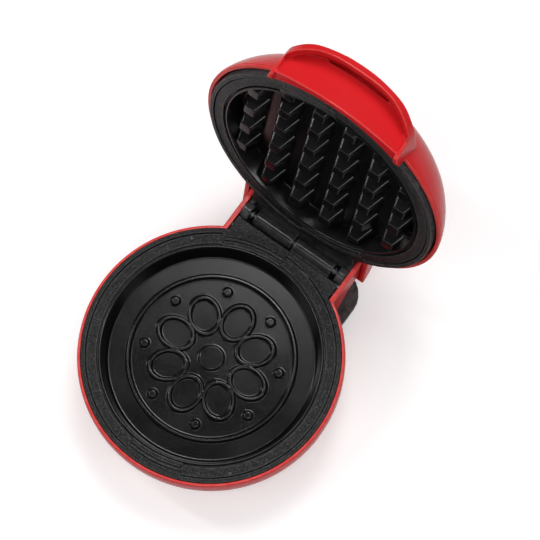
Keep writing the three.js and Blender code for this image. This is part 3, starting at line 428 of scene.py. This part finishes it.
def softened(points, radius, steps=4):
    """A closed outline with each corner replaced by a quadratic curve that starts radius before it,
    or nearer where a side is short."""
    points = np.asarray(points, float)
    back, on = np.roll(points, 1, axis=0) - points, np.roll(points, -1, axis=0) - points
    back_length, on_length = np.linalg.norm(back, axis=1), np.linalg.norm(on, axis=1)
    reach = np.minimum(radius, 0.45 * np.minimum(back_length, on_length))[:, None]
    first = points + back / back_length[:, None] * reach
    last = points + on / on_length[:, None] * reach
    t = np.linspace(0, 1, steps + 1)[None, :, None]
    curve = (1 - t) ** 2 * first[:, None] + 2 * t * (1 - t) * points[:, None] + t ** 2 * last[:, None]
    return curve.reshape(-1, 2)


def spun_bar(name, profile, steps=64):
    """A closed profile of (x, radius) turned about the hinge's axis."""
    profile = np.asarray(profile, float)
    a = np.radians(np.arange(steps) * 360 / steps)[:, None]
    x = np.broadcast_to(profile[:, 0][None], (steps, len(profile)))
    y = hinge_y + profile[:, 1][None] * np.cos(a)
    z = hinge_z + profile[:, 1][None] * np.sin(a)
    return closed_mesh(name, np.stack([x, y, z], axis=-1))


def joined(name, *meshes, smooth=()):
    """Several meshes as one; the faces of those in smooth take the piece's second material."""
    for mesh in smooth:
        mesh.polygons.foreach_set("material_index", np.ones(len(mesh.polygons), np.int32))
    work = bmesh.new()
    for mesh in (*meshes, *smooth):
        work.from_mesh(mesh)
    made = bpy.data.meshes.new(name)
    work.to_mesh(made)
    work.free()
    return made


def place_piece(name, mesh, material, body, slot, *replaced, sharp=32, second=None):
    """A finished piece: smooth faces with sharp edges over that angle, its normals weighted to its large
    faces, with a second material for the faces that joined sets apart, riding on its body, and standing
    for the CAD nodes that it replaces. Its slot argument is not used."""
    mesh.polygons.foreach_set("use_smooth", np.ones(len(mesh.polygons), bool))
    mesh.set_sharp_from_angle(angle=math.radians(sharp))
    mesh.materials.append(material)
    if second:
        mesh.materials.append(second)
    made = bpy.data.objects.new(name, mesh)
    bpy.context.scene.collection.objects.link(made)
    even = made.modifiers.new("even_normals", "WEIGHTED_NORMAL")
    even.keep_sharp = True
    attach(made, body)
    if replaced:
        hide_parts(*replaced)
    return made


lower_grid = rim_grid(lower_lands)
lower_grid[..., 2] = face_height - lower_grid[..., 2]
trough_front = hinge_y - trough_radius
trough = bar_mesh("trough", np.concatenate([
    [[trough_front, trough_lip]], arc_points(trough_radius, 180, 352, 40),
    arc_points(trough_radius - trough_wall, 352, 180, 40), [[trough_front + trough_wall, trough_lip]]]),
    -plate_outer, plate_outer)
base_web = bar_mesh("base_web", softened(base_web_outline, 0.5), barrel_start, barrel_end, web_edge)
base_barrel = spun_bar("base_barrel", barrel_profile)
end_plates = []
for side in (-1, 1):
    low, high = sorted((side * plate_inner, side * plate_outer))
    end_plates.append(bar_mesh("end_plate", arc_points(plate_radius, 180, 360, 40), low, high))
    low, high = sorted((side * boss_inner, side * plate_outer))
    end_plates.append(spun_bar("end_boss", [
        (low, pin_bore), (low, boss_radius - boss_edge), (low + boss_edge, boss_radius),
        (high - boss_edge, boss_radius), (high, boss_radius - boss_edge), (high, pin_bore)], 48))
place_piece(
    "lower_rim_moulding", joined("lower_rim_moulding", closed_mesh("lower_rim_ring", lower_grid), base_web,
                                 smooth=(trough, base_barrel, *end_plates)),
    black_plastic, "base", "black_rim", "lower_rim", second=smooth_black)


# ---------------------------------------------------------------------------------------------
# Lower cook plate: a pressed aluminium dish with a dark non-stick coat, held under the rim. Its
# floor carries a raised rosette, a plain pattern that the batter takes on.
# ---------------------------------------------------------------------------------------------
floor_radius, mouth_radius, lip_outer, flange_radius = 49.6, 52.4, 53.6, 57.0
flange_top, flange_under, dish_metal, axis_radius = 2.5, 4.2, 2.0, 0.01
lower_depth, lower_lip = 8.5, 0.4
relief_height, line_half, relief_slope = 1.8, 1.0, 0.6
ring_radius, hub_radius, dot_radius, dot_ring = 40.0, 6.0, 2.2, 33.0
petals, petal_middle, petal_long, petal_wide = 8, 21.0, 10.0, 8.0

# The coat takes a faint painted highlight on its edges and a painted shade in inner corners.
nonstick_coat = finish(
    "nonstick_coat", (0.0035, 0.0035, 0.004), (0.006, 0.006, 0.007), (0.03, 0.03, 0.033),
    0.13, 0.2, 2600, 0.00003, pits=0.2, broad=45.0, Specular_IOR_Level=0.38)


def ridge(distance, half):
    """A raised line of that half width: full height inside, easing down over relief_slope."""
    return eased((half + 0.25 - np.abs(distance)) / relief_slope)


def disc(distance, radius):
    """A raised disc of that radius: full height inside, easing down over relief_slope."""
    return eased((radius + 0.3 - distance) / relief_slope)


def rosette_relief(x, y):
    """Height of the pattern over the floor: a ring, a hub, eight petals whose outlines are ridges one
    line inside an ellipse, and dots between them. The highest of these holds at each point."""
    r, a = np.hypot(x, y), np.degrees(np.arctan2(y, x))
    share = 360 / petals
    high = np.maximum(ridge(r - ring_radius, line_half), disc(r, hub_radius))
    turn = (a + share / 2) % share - share / 2
    u, v = r * np.cos(np.radians(turn)) - petal_middle, r * np.sin(np.radians(turn))
    inward = (1 - np.hypot(u / petal_long, v / petal_wide)) * (petal_long + petal_wide) / 2
    high = np.maximum(high, ridge(inward - line_half, line_half))
    turn = a % share - share / 2
    u, v = r * np.cos(np.radians(turn)) - dot_ring, r * np.sin(np.radians(turn))
    return relief_height * np.maximum(high, disc(np.hypot(u, v), dot_radius))


def dish_grid(depth, lip_rise, relief, steps=480):
    """The dish as (x, y, depth) round the axis, from pole to pole: floor, patterned or plain, sloping
    wall, rounded lip, flange and underside. Its angles start off the diagonals, as the rim's do."""
    flat = np.linspace(axis_radius, floor_radius - 0.8, 104)
    floor = np.concatenate([flat, [floor_radius - 0.3, floor_radius]])
    wall = [[49.9, depth - 0.35], [50.2, depth - 1.1], [52.1, 0.9], [52.35, 0.3]]
    lip = [[52.6, -0.75 * lip_rise], [53.0, -lip_rise], [53.4, -0.6 * lip_rise], [lip_outer, 0.1]]
    flange = [[lip_outer, flange_top], [flange_radius, flange_top], [flange_radius, flange_under],
              [lip_outer, flange_under]]
    under = [[51.6, depth + dish_metal], [axis_radius, depth + dish_metal]]
    bend = np.array(wall + lip + flange + under)
    r = np.concatenate([floor, bend[:, 0]])
    level = np.concatenate([np.full(len(floor), depth), bend[:, 1]])
    level[len(floor) - 1] -= 0.1
    a = np.radians((np.arange(steps) + 0.25) * 360 / steps)[:, None]
    x, y = r[None] * np.cos(a), r[None] * np.sin(a)
    down = level[None] + 0 * x
    if relief:
        down[:, :len(floor)] -= rosette_relief(x[:, :len(floor)], y[:, :len(floor)])
    return np.stack([x, y, down], axis=-1)


def pole_mesh(name, grid):
    """A grid wound round an axis, whose first and last columns are drawn together to a point."""
    grid = grid.copy()
    for end in (0, -1):
        grid[:, end, :] = grid[:, end, :].mean(axis=0)
    return mesh_of(name, grid.reshape(-1, 3), grid_faces(*grid.shape[:2], wrap_columns=False))


lower_dish = dish_grid(lower_depth, lower_lip, True)
lower_dish[..., 2] = face_height - lower_dish[..., 2]
place_piece(
    "lower_cook_dish", pole_mesh("lower_cook_dish", lower_dish),
    nonstick_coat, "base", "cook_plate", "lower_cook_plate", sharp=80)


# ---------------------------------------------------------------------------------------------
# Lower housing: a glossy red bowl of injection-moulded plastic that stands round the rim, with a
# neck behind it whose two cheeks hold the hinge. The cord's gland sits in the neck's underside.
# ---------------------------------------------------------------------------------------------
housing_top, side_top, bowl_foot, housing_wall = 37.6, 33.0, 3.7, 1.7
side_radius, side_draft, side_curve = 64.0, 12.0, 2.4
hollow_radius, hollow_top, floor_hole, hollow_low = 62.3, 33.2, 50.0, 2.5
rolled_top = [[62.9, 37.6], [63.25, 37.5], [63.5, 37.15], [63.75, 36.3], [63.95, 34.8]]
neck_radius, neck_half, neck_edge, neck_start = 12.0, 32.5, 0.5, 38.02
neck_hollow_radius, neck_hollow_half, neck_floor, neck_open = 10.7, 30.2, 2.3, 40
underside_shares = np.array([[0.92, 0.487], [0.854, 0.352], [0.78, 0.252], [0.677, 0.194], [0.56, 0.176]])

# The red takes a pale painted highlight on outer edges and a light painted shade in inner corners.
red_plastic = finish(
    "glossy_red_plastic", (0.70, 0.019, 0.024), (0.66, 0.017, 0.021), (0.86, 0.14, 0.12),
    0.12, 0.17, 900, 0.00001, broad=35.0, crease_shade=0.7, Specular_IOR_Level=0.17)

side_steps = np.linspace(0, 1, 18)
side_z = side_top - (side_top - bowl_foot) * side_steps
side_r = side_radius - side_draft * side_steps ** side_curve


def lathe_solid(name, profile, steps=256):
    """An open profile of (radius, height) from axis to axis, turned about the upright axis, at angles
    that start off the diagonals."""
    profile = np.asarray(profile, float)
    a = np.radians((np.arange(steps) + 0.25) * 360 / steps)[:, None]
    r, z = profile[:, 0][None], profile[:, 1][None]
    return pole_mesh(name, np.stack([r * np.cos(a), r * np.sin(a), z + 0 * a], axis=-1))


def carved(name, start, *steps):
    """Joins or cuts closed meshes one after another and gives the result as a mesh."""
    body = bpy.data.objects.new(name, start)
    bpy.context.scene.collection.objects.link(body)
    tools = []
    for operation, mesh in steps:
        tool = bpy.data.objects.new("tool", mesh)
        bpy.context.scene.collection.objects.link(tool)
        tools.append(tool)
        made = body.modifiers.new("carve", "BOOLEAN")
        made.operation, made.object, made.solver = operation, tool, "EXACT"
    graph = bpy.context.evaluated_depsgraph_get()
    result = bpy.data.meshes.new_from_object(body.evaluated_get(graph))
    for one in (body, *tools):
        bpy.data.objects.remove(one)
    return result


def neck_section(radius, rise, top):
    """Outline of the neck as (y, z): flat top, a round back about the hinge, and an underside that
    curves forward through shares of the hinge's place, raised by rise."""
    start = math.degrees(math.asin((housing_top - hinge_z) / radius))
    flat_top, back = [[neck_start, top], [hinge_y, top]], arc_points(radius, start, -90, 28)
    underside = underside_shares * [hinge_y, hinge_z] + [0, rise]
    return np.concatenate([flat_top, back, underside])


solid_bowl = lathe_solid("bowl", np.concatenate([
    [[axis_radius, housing_top]], rolled_top,
    np.stack([side_r, side_z], axis=1), [[axis_radius, bowl_foot]]]))
hollow_bowl = lathe_solid("hollow", np.concatenate([
    [[axis_radius, 39], [hollow_radius, 39], [hollow_radius, hollow_top]],
    np.stack([side_r - housing_wall, side_z], axis=1)[1:],
    [[floor_hole, hollow_low], [axis_radius, hollow_low]]]))
neck = bar_mesh("neck", neck_section(neck_radius, 0, housing_top), -neck_half, neck_half, neck_edge)
neck_hollow = bar_mesh("neck_hollow", neck_section(neck_hollow_radius, neck_floor, neck_open),
                       -neck_hollow_half, neck_hollow_half)
housing_mesh = carved(
    "red_base_housing", solid_bowl, ("UNION", neck), ("DIFFERENCE", hollow_bowl), ("DIFFERENCE", neck_hollow))
place_piece("red_base_housing", housing_mesh, red_plastic, "base", "red_shell", "lower_housing", sharp=30)


# ---------------------------------------------------------------------------------------------
# Base fittings: the black cover with its rear foot plate, rubber feet, the cord's gland, the
# screws, and the heating pieces that the shells hide. They keep their solid shapes.
# ---------------------------------------------------------------------------------------------
def dress(material, *names):
    """Gives CAD nodes a material through their objects' own slots."""
    for name in names:
        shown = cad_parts[name]
        if not shown.data.materials:
            shown.data.materials.append(material)
        for place in shown.material_slots:
            place.link = "OBJECT"
            place.material = material


soft_rubber = finish(
    "soft_black_rubber", (0.018, 0.018, 0.018), (0.026, 0.026, 0.026), (0.05, 0.05, 0.05),
    0.75, 0.9, 2500, 0.00006)
plated_steel = finish(
    "plated_steel", (0.62, 0.62, 0.63), (0.52, 0.52, 0.54), (0.8, 0.8, 0.8),
    0.2, 0.36, 5000, 0.00001, Metallic=1.0)
stamped_aluminium = finish(
    "stamped_aluminium", (0.7, 0.7, 0.71), (0.6, 0.6, 0.62), (0.85, 0.85, 0.85),
    0.32, 0.5, 3500, 0.00002, Metallic=1.0)
oxidised_sheath = finish(
    "oxidised_heater_sheath", (0.09, 0.085, 0.08), (0.14, 0.12, 0.1), (0.3, 0.28, 0.26),
    0.4, 0.6, 3000, 0.00002, Metallic=0.8)
glazed_ceramic = finish(
    "ceramic_body", (0.72, 0.68, 0.58), (0.64, 0.6, 0.5), (0.8, 0.78, 0.7),
    0.5, 0.7, 1500, 0.00003)
woven_sleeving = finish(
    "glass_fibre_sleeving", (0.62, 0.58, 0.48), (0.5, 0.46, 0.38), (0.75, 0.72, 0.65),
    0.7, 0.9, 1400, 0.0001, pits=0.7)

dress(black_plastic, "base_cover")
dress(soft_rubber, "cord_gland", *(f"rubber_foot_{n}" for n in (1, 2, 3, 4)))
dress(plated_steel, "thermal_fuse", *(f"cover_screw_{n}" for n in (1, 2, 3, 4)),
      *(f"{rim}_rim_screw_{n}" for rim in ("lower", "upper") for n in (1, 2, 3)),
      "handle_screw_left", "handle_screw_right")
dress(stamped_aluminium, "lower_shield", "upper_shield")
dress(oxidised_sheath, "lower_heater", "upper_heater")
dress(glazed_ceramic, "thermostat", "terminal_block", "indicator_lamp")
dress(woven_sleeving, "lead_block_to_fuse", "lead_fuse_to_thermostat", "lead_thermostat_to_heater",
      "lead_heater_to_block", "lamp_lead_left", "lamp_lead_right")


# ---------------------------------------------------------------------------------------------
# Hinge pin and clips: a blackened steel pin with rounded ends runs through both barrels, and a
# pressed ring beside each barrel's outer end keeps it in place.
# ---------------------------------------------------------------------------------------------
pin_radius, clip_inner, clip_outer, clip_radius = 2.0, 23.6, 24.6, 3.6
pin_end = np.array([(29.3, pin_radius), (29.6, 1.9), (29.9, 1.5), (29.9, 0.02)])

blackened_steel = finish(
    "blackened_steel", (0.06, 0.06, 0.062), (0.045, 0.045, 0.047), (0.22, 0.22, 0.22),
    0.28, 0.4, 4500, 0.00001, Metallic=1.0)
pin = spun_bar("steel_hinge_pin", np.concatenate([(pin_end * [-1, 1])[::-1], pin_end]), 40)
place_piece("steel_hinge_pin", pin, blackened_steel, "base", "hinge_steel", "hinge_pin")
for name, side in (("left", -1), ("right", 1)):
    low, high = sorted((side * clip_inner, side * clip_outer))
    clip = spun_bar("clip", softened([
        (low, pin_bore), (low, clip_radius), (high, clip_radius), (high, pin_bore)], 0.3), 48)
    place_piece(f"pressed_clip_{name}", clip, blackened_steel, "base", "hinge_steel", f"pin_clip_{name}")


# ---------------------------------------------------------------------------------------------
# Upper rim: the same black moulding turned over in the lid, with lands in other places, a skirt
# inside the red shell, and the left barrel on a rounded web.
# ---------------------------------------------------------------------------------------------
upper_face = face_height + 0.3
upper_lands = [(-121.6, -90.7), (55.7, 90.3)]
lid_web_outline = [
    (61.8, 38.3), (62.9, 38.3), (65.95, 36.05), (67.9, 34.1), (71.0, 36.0), (66.5, 40.5), (61.8, 40.5)]


def opened(mesh):
    """Swings a mesh made in the closed lid's place open about the hinge, by lid_swing degrees."""
    pivot = Vector((0, hinge_y / 1000, hinge_z / 1000))
    swing = Matrix.Rotation(math.radians(-lid_swing), 4, "X")
    mesh.transform(Matrix.Translation(pivot) @ swing @ Matrix.Translation(-pivot))
    return mesh


upper_grid = rim_grid(upper_lands)
upper_grid[..., 2] = upper_face + upper_grid[..., 2]
lid_web = bar_mesh("lid_web", softened(lid_web_outline, 0.5), -barrel_end, -barrel_start, web_edge)
lid_barrel = spun_bar("lid_barrel", barrel_profile * [-1, 1])
place_piece(
    "upper_rim_moulding", opened(joined("upper_rim_moulding", closed_mesh("upper_rim_ring", upper_grid),
                                        smooth=(lid_web, lid_barrel))),
    black_plastic, "lid", "black_rim", "upper_rim", second=smooth_black)


# ---------------------------------------------------------------------------------------------
# Upper cook plate: the second coated dish, with square pegs that form the pockets in the batter.
# Each peg tapers from a foot that flares into the floor to a rounded tip, and those near the wall
# are drawn in to it.
# ---------------------------------------------------------------------------------------------
upper_depth, upper_lip, peg_pitch, pegs_across = 9.5, -0.4, 16.8, 6
tip_depth, tip_corner, corner_growth, wall_overlap = 1.5, 1.0, 0.12, 0.5
peg_rows = np.array([  # depth behind the rim's face, and half the peg's width there
    [9.9, 6.6], [9.5, 6.4], [9.2, 6.25], [8.5, 5.98], [7.0, 5.34], [5.0, 4.49], [3.0, 3.64], [2.2, 3.3],
    [1.8, 3.1], [1.6, 2.95], [1.52, 2.8], [tip_depth, 2.5], [tip_depth, 0.0]])


def peg_grid(per_corner=7):
    """One peg as rings from foot to tip: each ring is a square with rounded corners, whose radius grows
    with the depth. The last ring draws together in the middle of the tip."""
    a = np.radians(np.concatenate([q + np.linspace(0, 90, per_corner) for q in (0, 90, 180, 270)]))
    signs = np.repeat([[1, 1], [-1, 1], [-1, -1], [1, -1]], per_corner, axis=0)
    depth, half = peg_rows[:, :1], peg_rows[:, 1:]
    soft = np.minimum(tip_corner + corner_growth * (depth - tip_depth), half)
    x = signs[:, 0][None] * (half - soft) + soft * np.cos(a)[None]
    y = signs[:, 1][None] * (half - soft) + soft * np.sin(a)[None]
    return np.stack([x, y, depth + 0 * x], axis=-1)


spots = (np.arange(pegs_across) - (pegs_across - 1) / 2) * peg_pitch
peg_x, peg_y = (grid.ravel() for grid in np.meshgrid(spots, spots))
kept = np.hypot(peg_x, peg_y) < floor_radius
peg = peg_grid()
pegs = np.broadcast_to(peg[None], (np.count_nonzero(kept), *peg.shape)).copy()
pegs[..., 0] += peg_x[kept][:, None, None]
pegs[..., 1] += peg_y[kept][:, None, None]
wall = mouth_radius - (mouth_radius - floor_radius) * pegs[..., 2] / upper_depth + wall_overlap
draw_in = np.minimum(1, wall / np.hypot(pegs[..., 0], pegs[..., 1]))
pegs[..., :2] *= draw_in[..., None]
pegs[..., 2] += upper_face
rings, around = peg.shape[:2]
sides, foot = grid_faces(rings, around, wrap_rows=False), np.arange(around)[None]
peg_faces = []
for first in range(0, len(pegs) * rings * around, rings * around):
    peg_faces += (sides + first).tolist() + (foot + first).tolist()
peg_mesh = mesh_of("pegs", pegs.reshape(-1, 3), peg_faces)
upper_dish = dish_grid(upper_depth, upper_lip, False)
upper_dish[..., 2] = upper_face + upper_dish[..., 2]
place_piece(
    "upper_cook_dish", opened(joined("upper_cook_dish", pole_mesh("upper_cook_dish", upper_dish), peg_mesh)),
    nonstick_coat, "lid", "cook_plate", "upper_cook_plate", sharp=60)


# ---------------------------------------------------------------------------------------------
# Lid shell: a glossy red dome with a rolled edge, and a hollow neck behind it that closes over the
# hinge. A small red lens on its crown shows when the plates heat.
# ---------------------------------------------------------------------------------------------
lid_radius, lid_spring, lid_crown, lid_wall, lid_low = 65.0, 4.3, 30.0, 2.2, 3
side_power, crown_power, roll_radius = 4, 1.333, 0.45
lid_neck_radius, lid_neck_half, lid_neck_front, lid_neck_rear, lid_neck_edge = 15.4, 36, 39.9, 43.4, 0.6
lid_hollow_radius, lid_hollow_half, lid_neck_start = 13.2, 33.5, 40
rim_seat = [(axis_radius, 36), (63.3, 36), (63.3, 42.6), (62.5, 43.2), (axis_radius, 43.2)]


def dome_profile(growth, low, rolled=False):
    """The dome as (radius, height) from its edge up to the crown: a quarter of a superellipse, whose
    radius goes as the cosine to 2 over side_power and height as the sine to 2 over crown_power, over a
    short wall. A rolled edge has a small quarter circle and a step above it."""
    t = np.radians(np.linspace(0, 90, 48))
    r = (lid_radius + growth) * np.cos(t) ** (2 / side_power)
    z = face_height + lid_spring + (lid_crown + growth) * np.sin(t) ** (2 / crown_power)
    r[-1] = axis_radius
    dome = np.stack([r, z], axis=1)
    if not rolled:
        return np.concatenate([[[axis_radius, low], [lid_radius + growth, low]], dome])
    turn = np.radians(np.linspace(-90, 0, 5))
    edge = np.column_stack([
        lid_radius - roll_radius + roll_radius * np.cos(turn),
        low + roll_radius + roll_radius * np.sin(turn)])
    step = [[lid_radius, low + 0.9], [lid_radius - 0.12, low + 1.15], [lid_radius - 0.14, low + 1.3]]
    return np.concatenate([[[axis_radius, low]], edge, step, dome[1:]])


def lid_neck_section(radius, front_low, rear_low):
    """Outline of the lid's neck as (y, z): a round roof about the hinge, flat forward to the dome."""
    start = math.degrees(math.asin((rear_low - hinge_z) / radius))
    return np.concatenate([
        [[lid_neck_start, front_low]],
        arc_points(radius, start, 90, 24), [[lid_neck_start, hinge_z + radius]]])


# The neck is hollowed before the dome: the other way round leaves stray faces where the two meet.
lid_neck = bar_mesh("lid_neck", lid_neck_section(lid_neck_radius, lid_neck_front, lid_neck_rear),
                    -lid_neck_half, lid_neck_half, lid_neck_edge)
lid_neck_hollow = bar_mesh("lid_neck_hollow", lid_neck_section(lid_hollow_radius, 30, hinge_z),
                           -lid_hollow_half, lid_hollow_half)
lid_mesh = carved(
    "red_lid_shell", lathe_solid("dome", dome_profile(0, face_height + lid_low, rolled=True)),
    ("UNION", lid_neck),
    ("DIFFERENCE", lid_neck_hollow),
    ("DIFFERENCE", lathe_solid("dome_hollow", dome_profile(-lid_wall, face_height - 2))),
    ("DIFFERENCE", lathe_solid("rim_seat", rim_seat)))
place_piece("red_lid_shell", opened(lid_mesh), red_plastic, "lid", "red_shell", "lid_shell", sharp=30)

lens_glass = finish(
    "red_lens", (0.55, 0.03, 0.02), (0.5, 0.02, 0.015), (0.7, 0.1, 0.08),
    0.08, 0.14, 1200, 0.00001, Transmission_Weight=0.6, Coat_Weight=0.6, Coat_Roughness=0.03)
dress(lens_glass, "indicator_lens")


# ---------------------------------------------------------------------------------------------
# Handle: a red moulding screwed to the front of the dome. A brow with a rounded lip stands out over
# a finger pocket, a broad face closes the pocket below, and a tab hangs at each end.
# ---------------------------------------------------------------------------------------------
half_width, brow_reach, brow_top, brow_lip, brow_climb, brow_back = 36.5, 78.0, 17.2, 13.7, 0.27, 46
handle_low, handle_high = face_height - 3.6, face_height + 52
face_half, face_front, face_bow, face_low = 33.2, 67.4, 5.4, face_height - 1.6
pocket_wall, pocket_roof_wall, pocket_depth, pocket_sill = 3.2, 2.4, 3.5, face_height + 15.7
voxel, calm_rounds = 0.00032, 5
plan_shares = np.array([
    [0, 1], [0.2, 0.998], [0.411, 0.992], [0.603, 0.974], [0.74, 0.942], [0.849, 0.897],
    [0.932, 0.833], [0.973, 0.744], [1, 0.667]])
top_shares = np.array([
    [0, 1], [0.2, 0.982], [0.411, 0.912], [0.603, 0.818], [0.74, 0.7], [0.849, 0.56],
    [0.932, 0.448], [0.973, 0.355], [1.1, 0.29]])
lip_shares = np.array([
    [0, 1], [0.27, 0.985], [0.45, 0.925], [0.548, 0.865], [0.712, 0.71], [0.822, 0.59],
    [0.912, 0.485], [1.1, 0.34]])
tab_front = [(-90, 30), (-61.5, 30), (-61.5, 34.4), (-64.5, 43), (-90, 43)]
tab_rear = [(-57.5, 30), (-57.5, 34.4), (-45, 40.5), (-45, 30)]


def smooth_line(points, steps):
    """A smooth curve through points, cubic from each to the next: its slope at a point is half the step
    from the point before to the point after, and beyond the ends the last step is carried on."""
    points = np.asarray(points, float)
    padded = np.concatenate([[2 * points[0] - points[1]], points, [2 * points[-1] - points[-2]]])
    t = np.linspace(0, 1, steps, endpoint=False)[None, :, None]
    a, b, c, d = (padded[k:len(padded) - 3 + k][:, None] for k in range(4))
    curve = 0.5 * (2 * b + (c - a) * t + (2 * a - 5 * b + 4 * c - d) * t ** 2
                   + (3 * b - a - 3 * c + d) * t ** 3)
    return np.concatenate([curve.reshape(-1, 2), points[-1:]])


def both_ways(line):
    """A line from the middle to the right end, with its mirror image before it."""
    return np.concatenate([(line * [-1, 1])[:0:-1], line])


def plan_outline(half, reach):
    """The brow seen from above: smooth round its front, straight back at the ends."""
    line = both_ways(smooth_line(plan_shares, 6)) * [half, -reach]
    return np.concatenate([line, [[half, -brow_back], [-half, -brow_back]]])


def under_outline(shares, height, low):
    """All that lies under a curved top line seen from the front, down to low."""
    line = both_ways(smooth_line(shares, 6)) * [half_width, height] + [0, face_height]
    return np.concatenate([line, [[line[-1, 0], low], [line[0, 0], low]]])


def closed_at(line, y):
    """A line across the face's width as (x, y), closed by a straight wall at y."""
    return np.concatenate([line, [[face_half, y], [-face_half, y]]])


def two_ring_solid(name, first, last):
    """The solid between two rings of points that match one to one."""
    n = len(first)
    faces = grid_faces(2, n, wrap_rows=False).tolist() + [list(range(n)), list(range(n, 2 * n))]
    return mesh_of(name, np.concatenate([first, last]), faces)


def upright(name, outline, low, high):
    """A closed outline of (x, y) raised from one height to another."""
    outline = np.asarray(outline, float)
    return two_ring_solid(name, *(np.column_stack([outline, np.full(len(outline), z)]) for z in (low, high)))


def front_view(name, outline, front, back, climb):
    """A closed outline of (x, z) carried back along y, climbing by climb for each step back."""
    return two_ring_solid(name, *(
        np.column_stack([outline[:, 0], np.full(len(outline), y), outline[:, 1] + climb * (y - front)])
        for y in (front, back)))


face_x = np.linspace(-face_half, face_half, 41)
face_line = np.column_stack([face_x, -face_front + face_bow * (face_x / face_half) ** 2])
below_lip = carved(
    "below_lip", upright("ahead", closed_at(face_line, -80), 20, 100),
    ("INTERSECT", front_view("lip", under_outline(lip_shares, brow_lip, 10), -90, -30, 0)))
pocket_plan = plan_outline(half_width - pocket_wall, brow_reach - pocket_wall)
pocket_top = under_outline(top_shares, brow_top, 10) - [0, pocket_roof_wall]
pocket = carved(
    "pocket", upright("pocket_plan", pocket_plan, 20, 100),
    ("INTERSECT", front_view("pocket_roof", pocket_top, -brow_reach, -40, brow_climb)),
    ("DIFFERENCE", upright("behind_face", closed_at(face_line, 0), 10, pocket_sill)),
    ("DIFFERENCE", upright("pocket_back", closed_at(face_line + [0, pocket_depth], 0), 10, 100)))
under_face = upright("under_face", [
    (-face_half, -90), (face_half, -90), (face_half, 0), (-face_half, 0)], 20, face_low)
beside_tabs = [("DIFFERENCE", bar_mesh("beside_tab", outline, *span))
               for outline in (tab_front, tab_rear) for span in ((face_half, 50), (-50, -face_half))]
dome_room = lathe_solid("dome_room", np.concatenate([
    [[axis_radius, 20], [64.3, 20], [64.3, 40.7], [65.25, 40.7]], dome_profile(0.15, 41)[3:]]))
brow_roof = front_view("roof", under_outline(top_shares, brow_top, 20), -brow_reach, -brow_back, brow_climb)
sharp_handle = carved(
    "red_handle", upright("brow", plan_outline(half_width, brow_reach), handle_low, handle_high),
    ("INTERSECT", brow_roof), ("DIFFERENCE", below_lip), ("DIFFERENCE", pocket), ("DIFFERENCE", under_face),
    *beside_tabs, ("DIFFERENCE", dome_room))

# Every edge of the moulding is rounded: the sharp solid is rebuilt from small even cells and calmed.
handle_work = bpy.data.objects.new("handle_work", sharp_handle)
bpy.context.scene.collection.objects.link(handle_work)
even = handle_work.modifiers.new("even", "REMESH")
even.mode, even.voxel_size = "VOXEL", voxel
calm = handle_work.modifiers.new("calm", "SMOOTH")
calm.factor, calm.iterations = 0.5, calm_rounds
handle_mesh = bpy.data.meshes.new_from_object(
    handle_work.evaluated_get(bpy.context.evaluated_depsgraph_get()))
bpy.data.objects.remove(handle_work)
place_piece("red_handle", opened(handle_mesh), red_plastic, "lid", "red_shell", "handle", sharp=180)
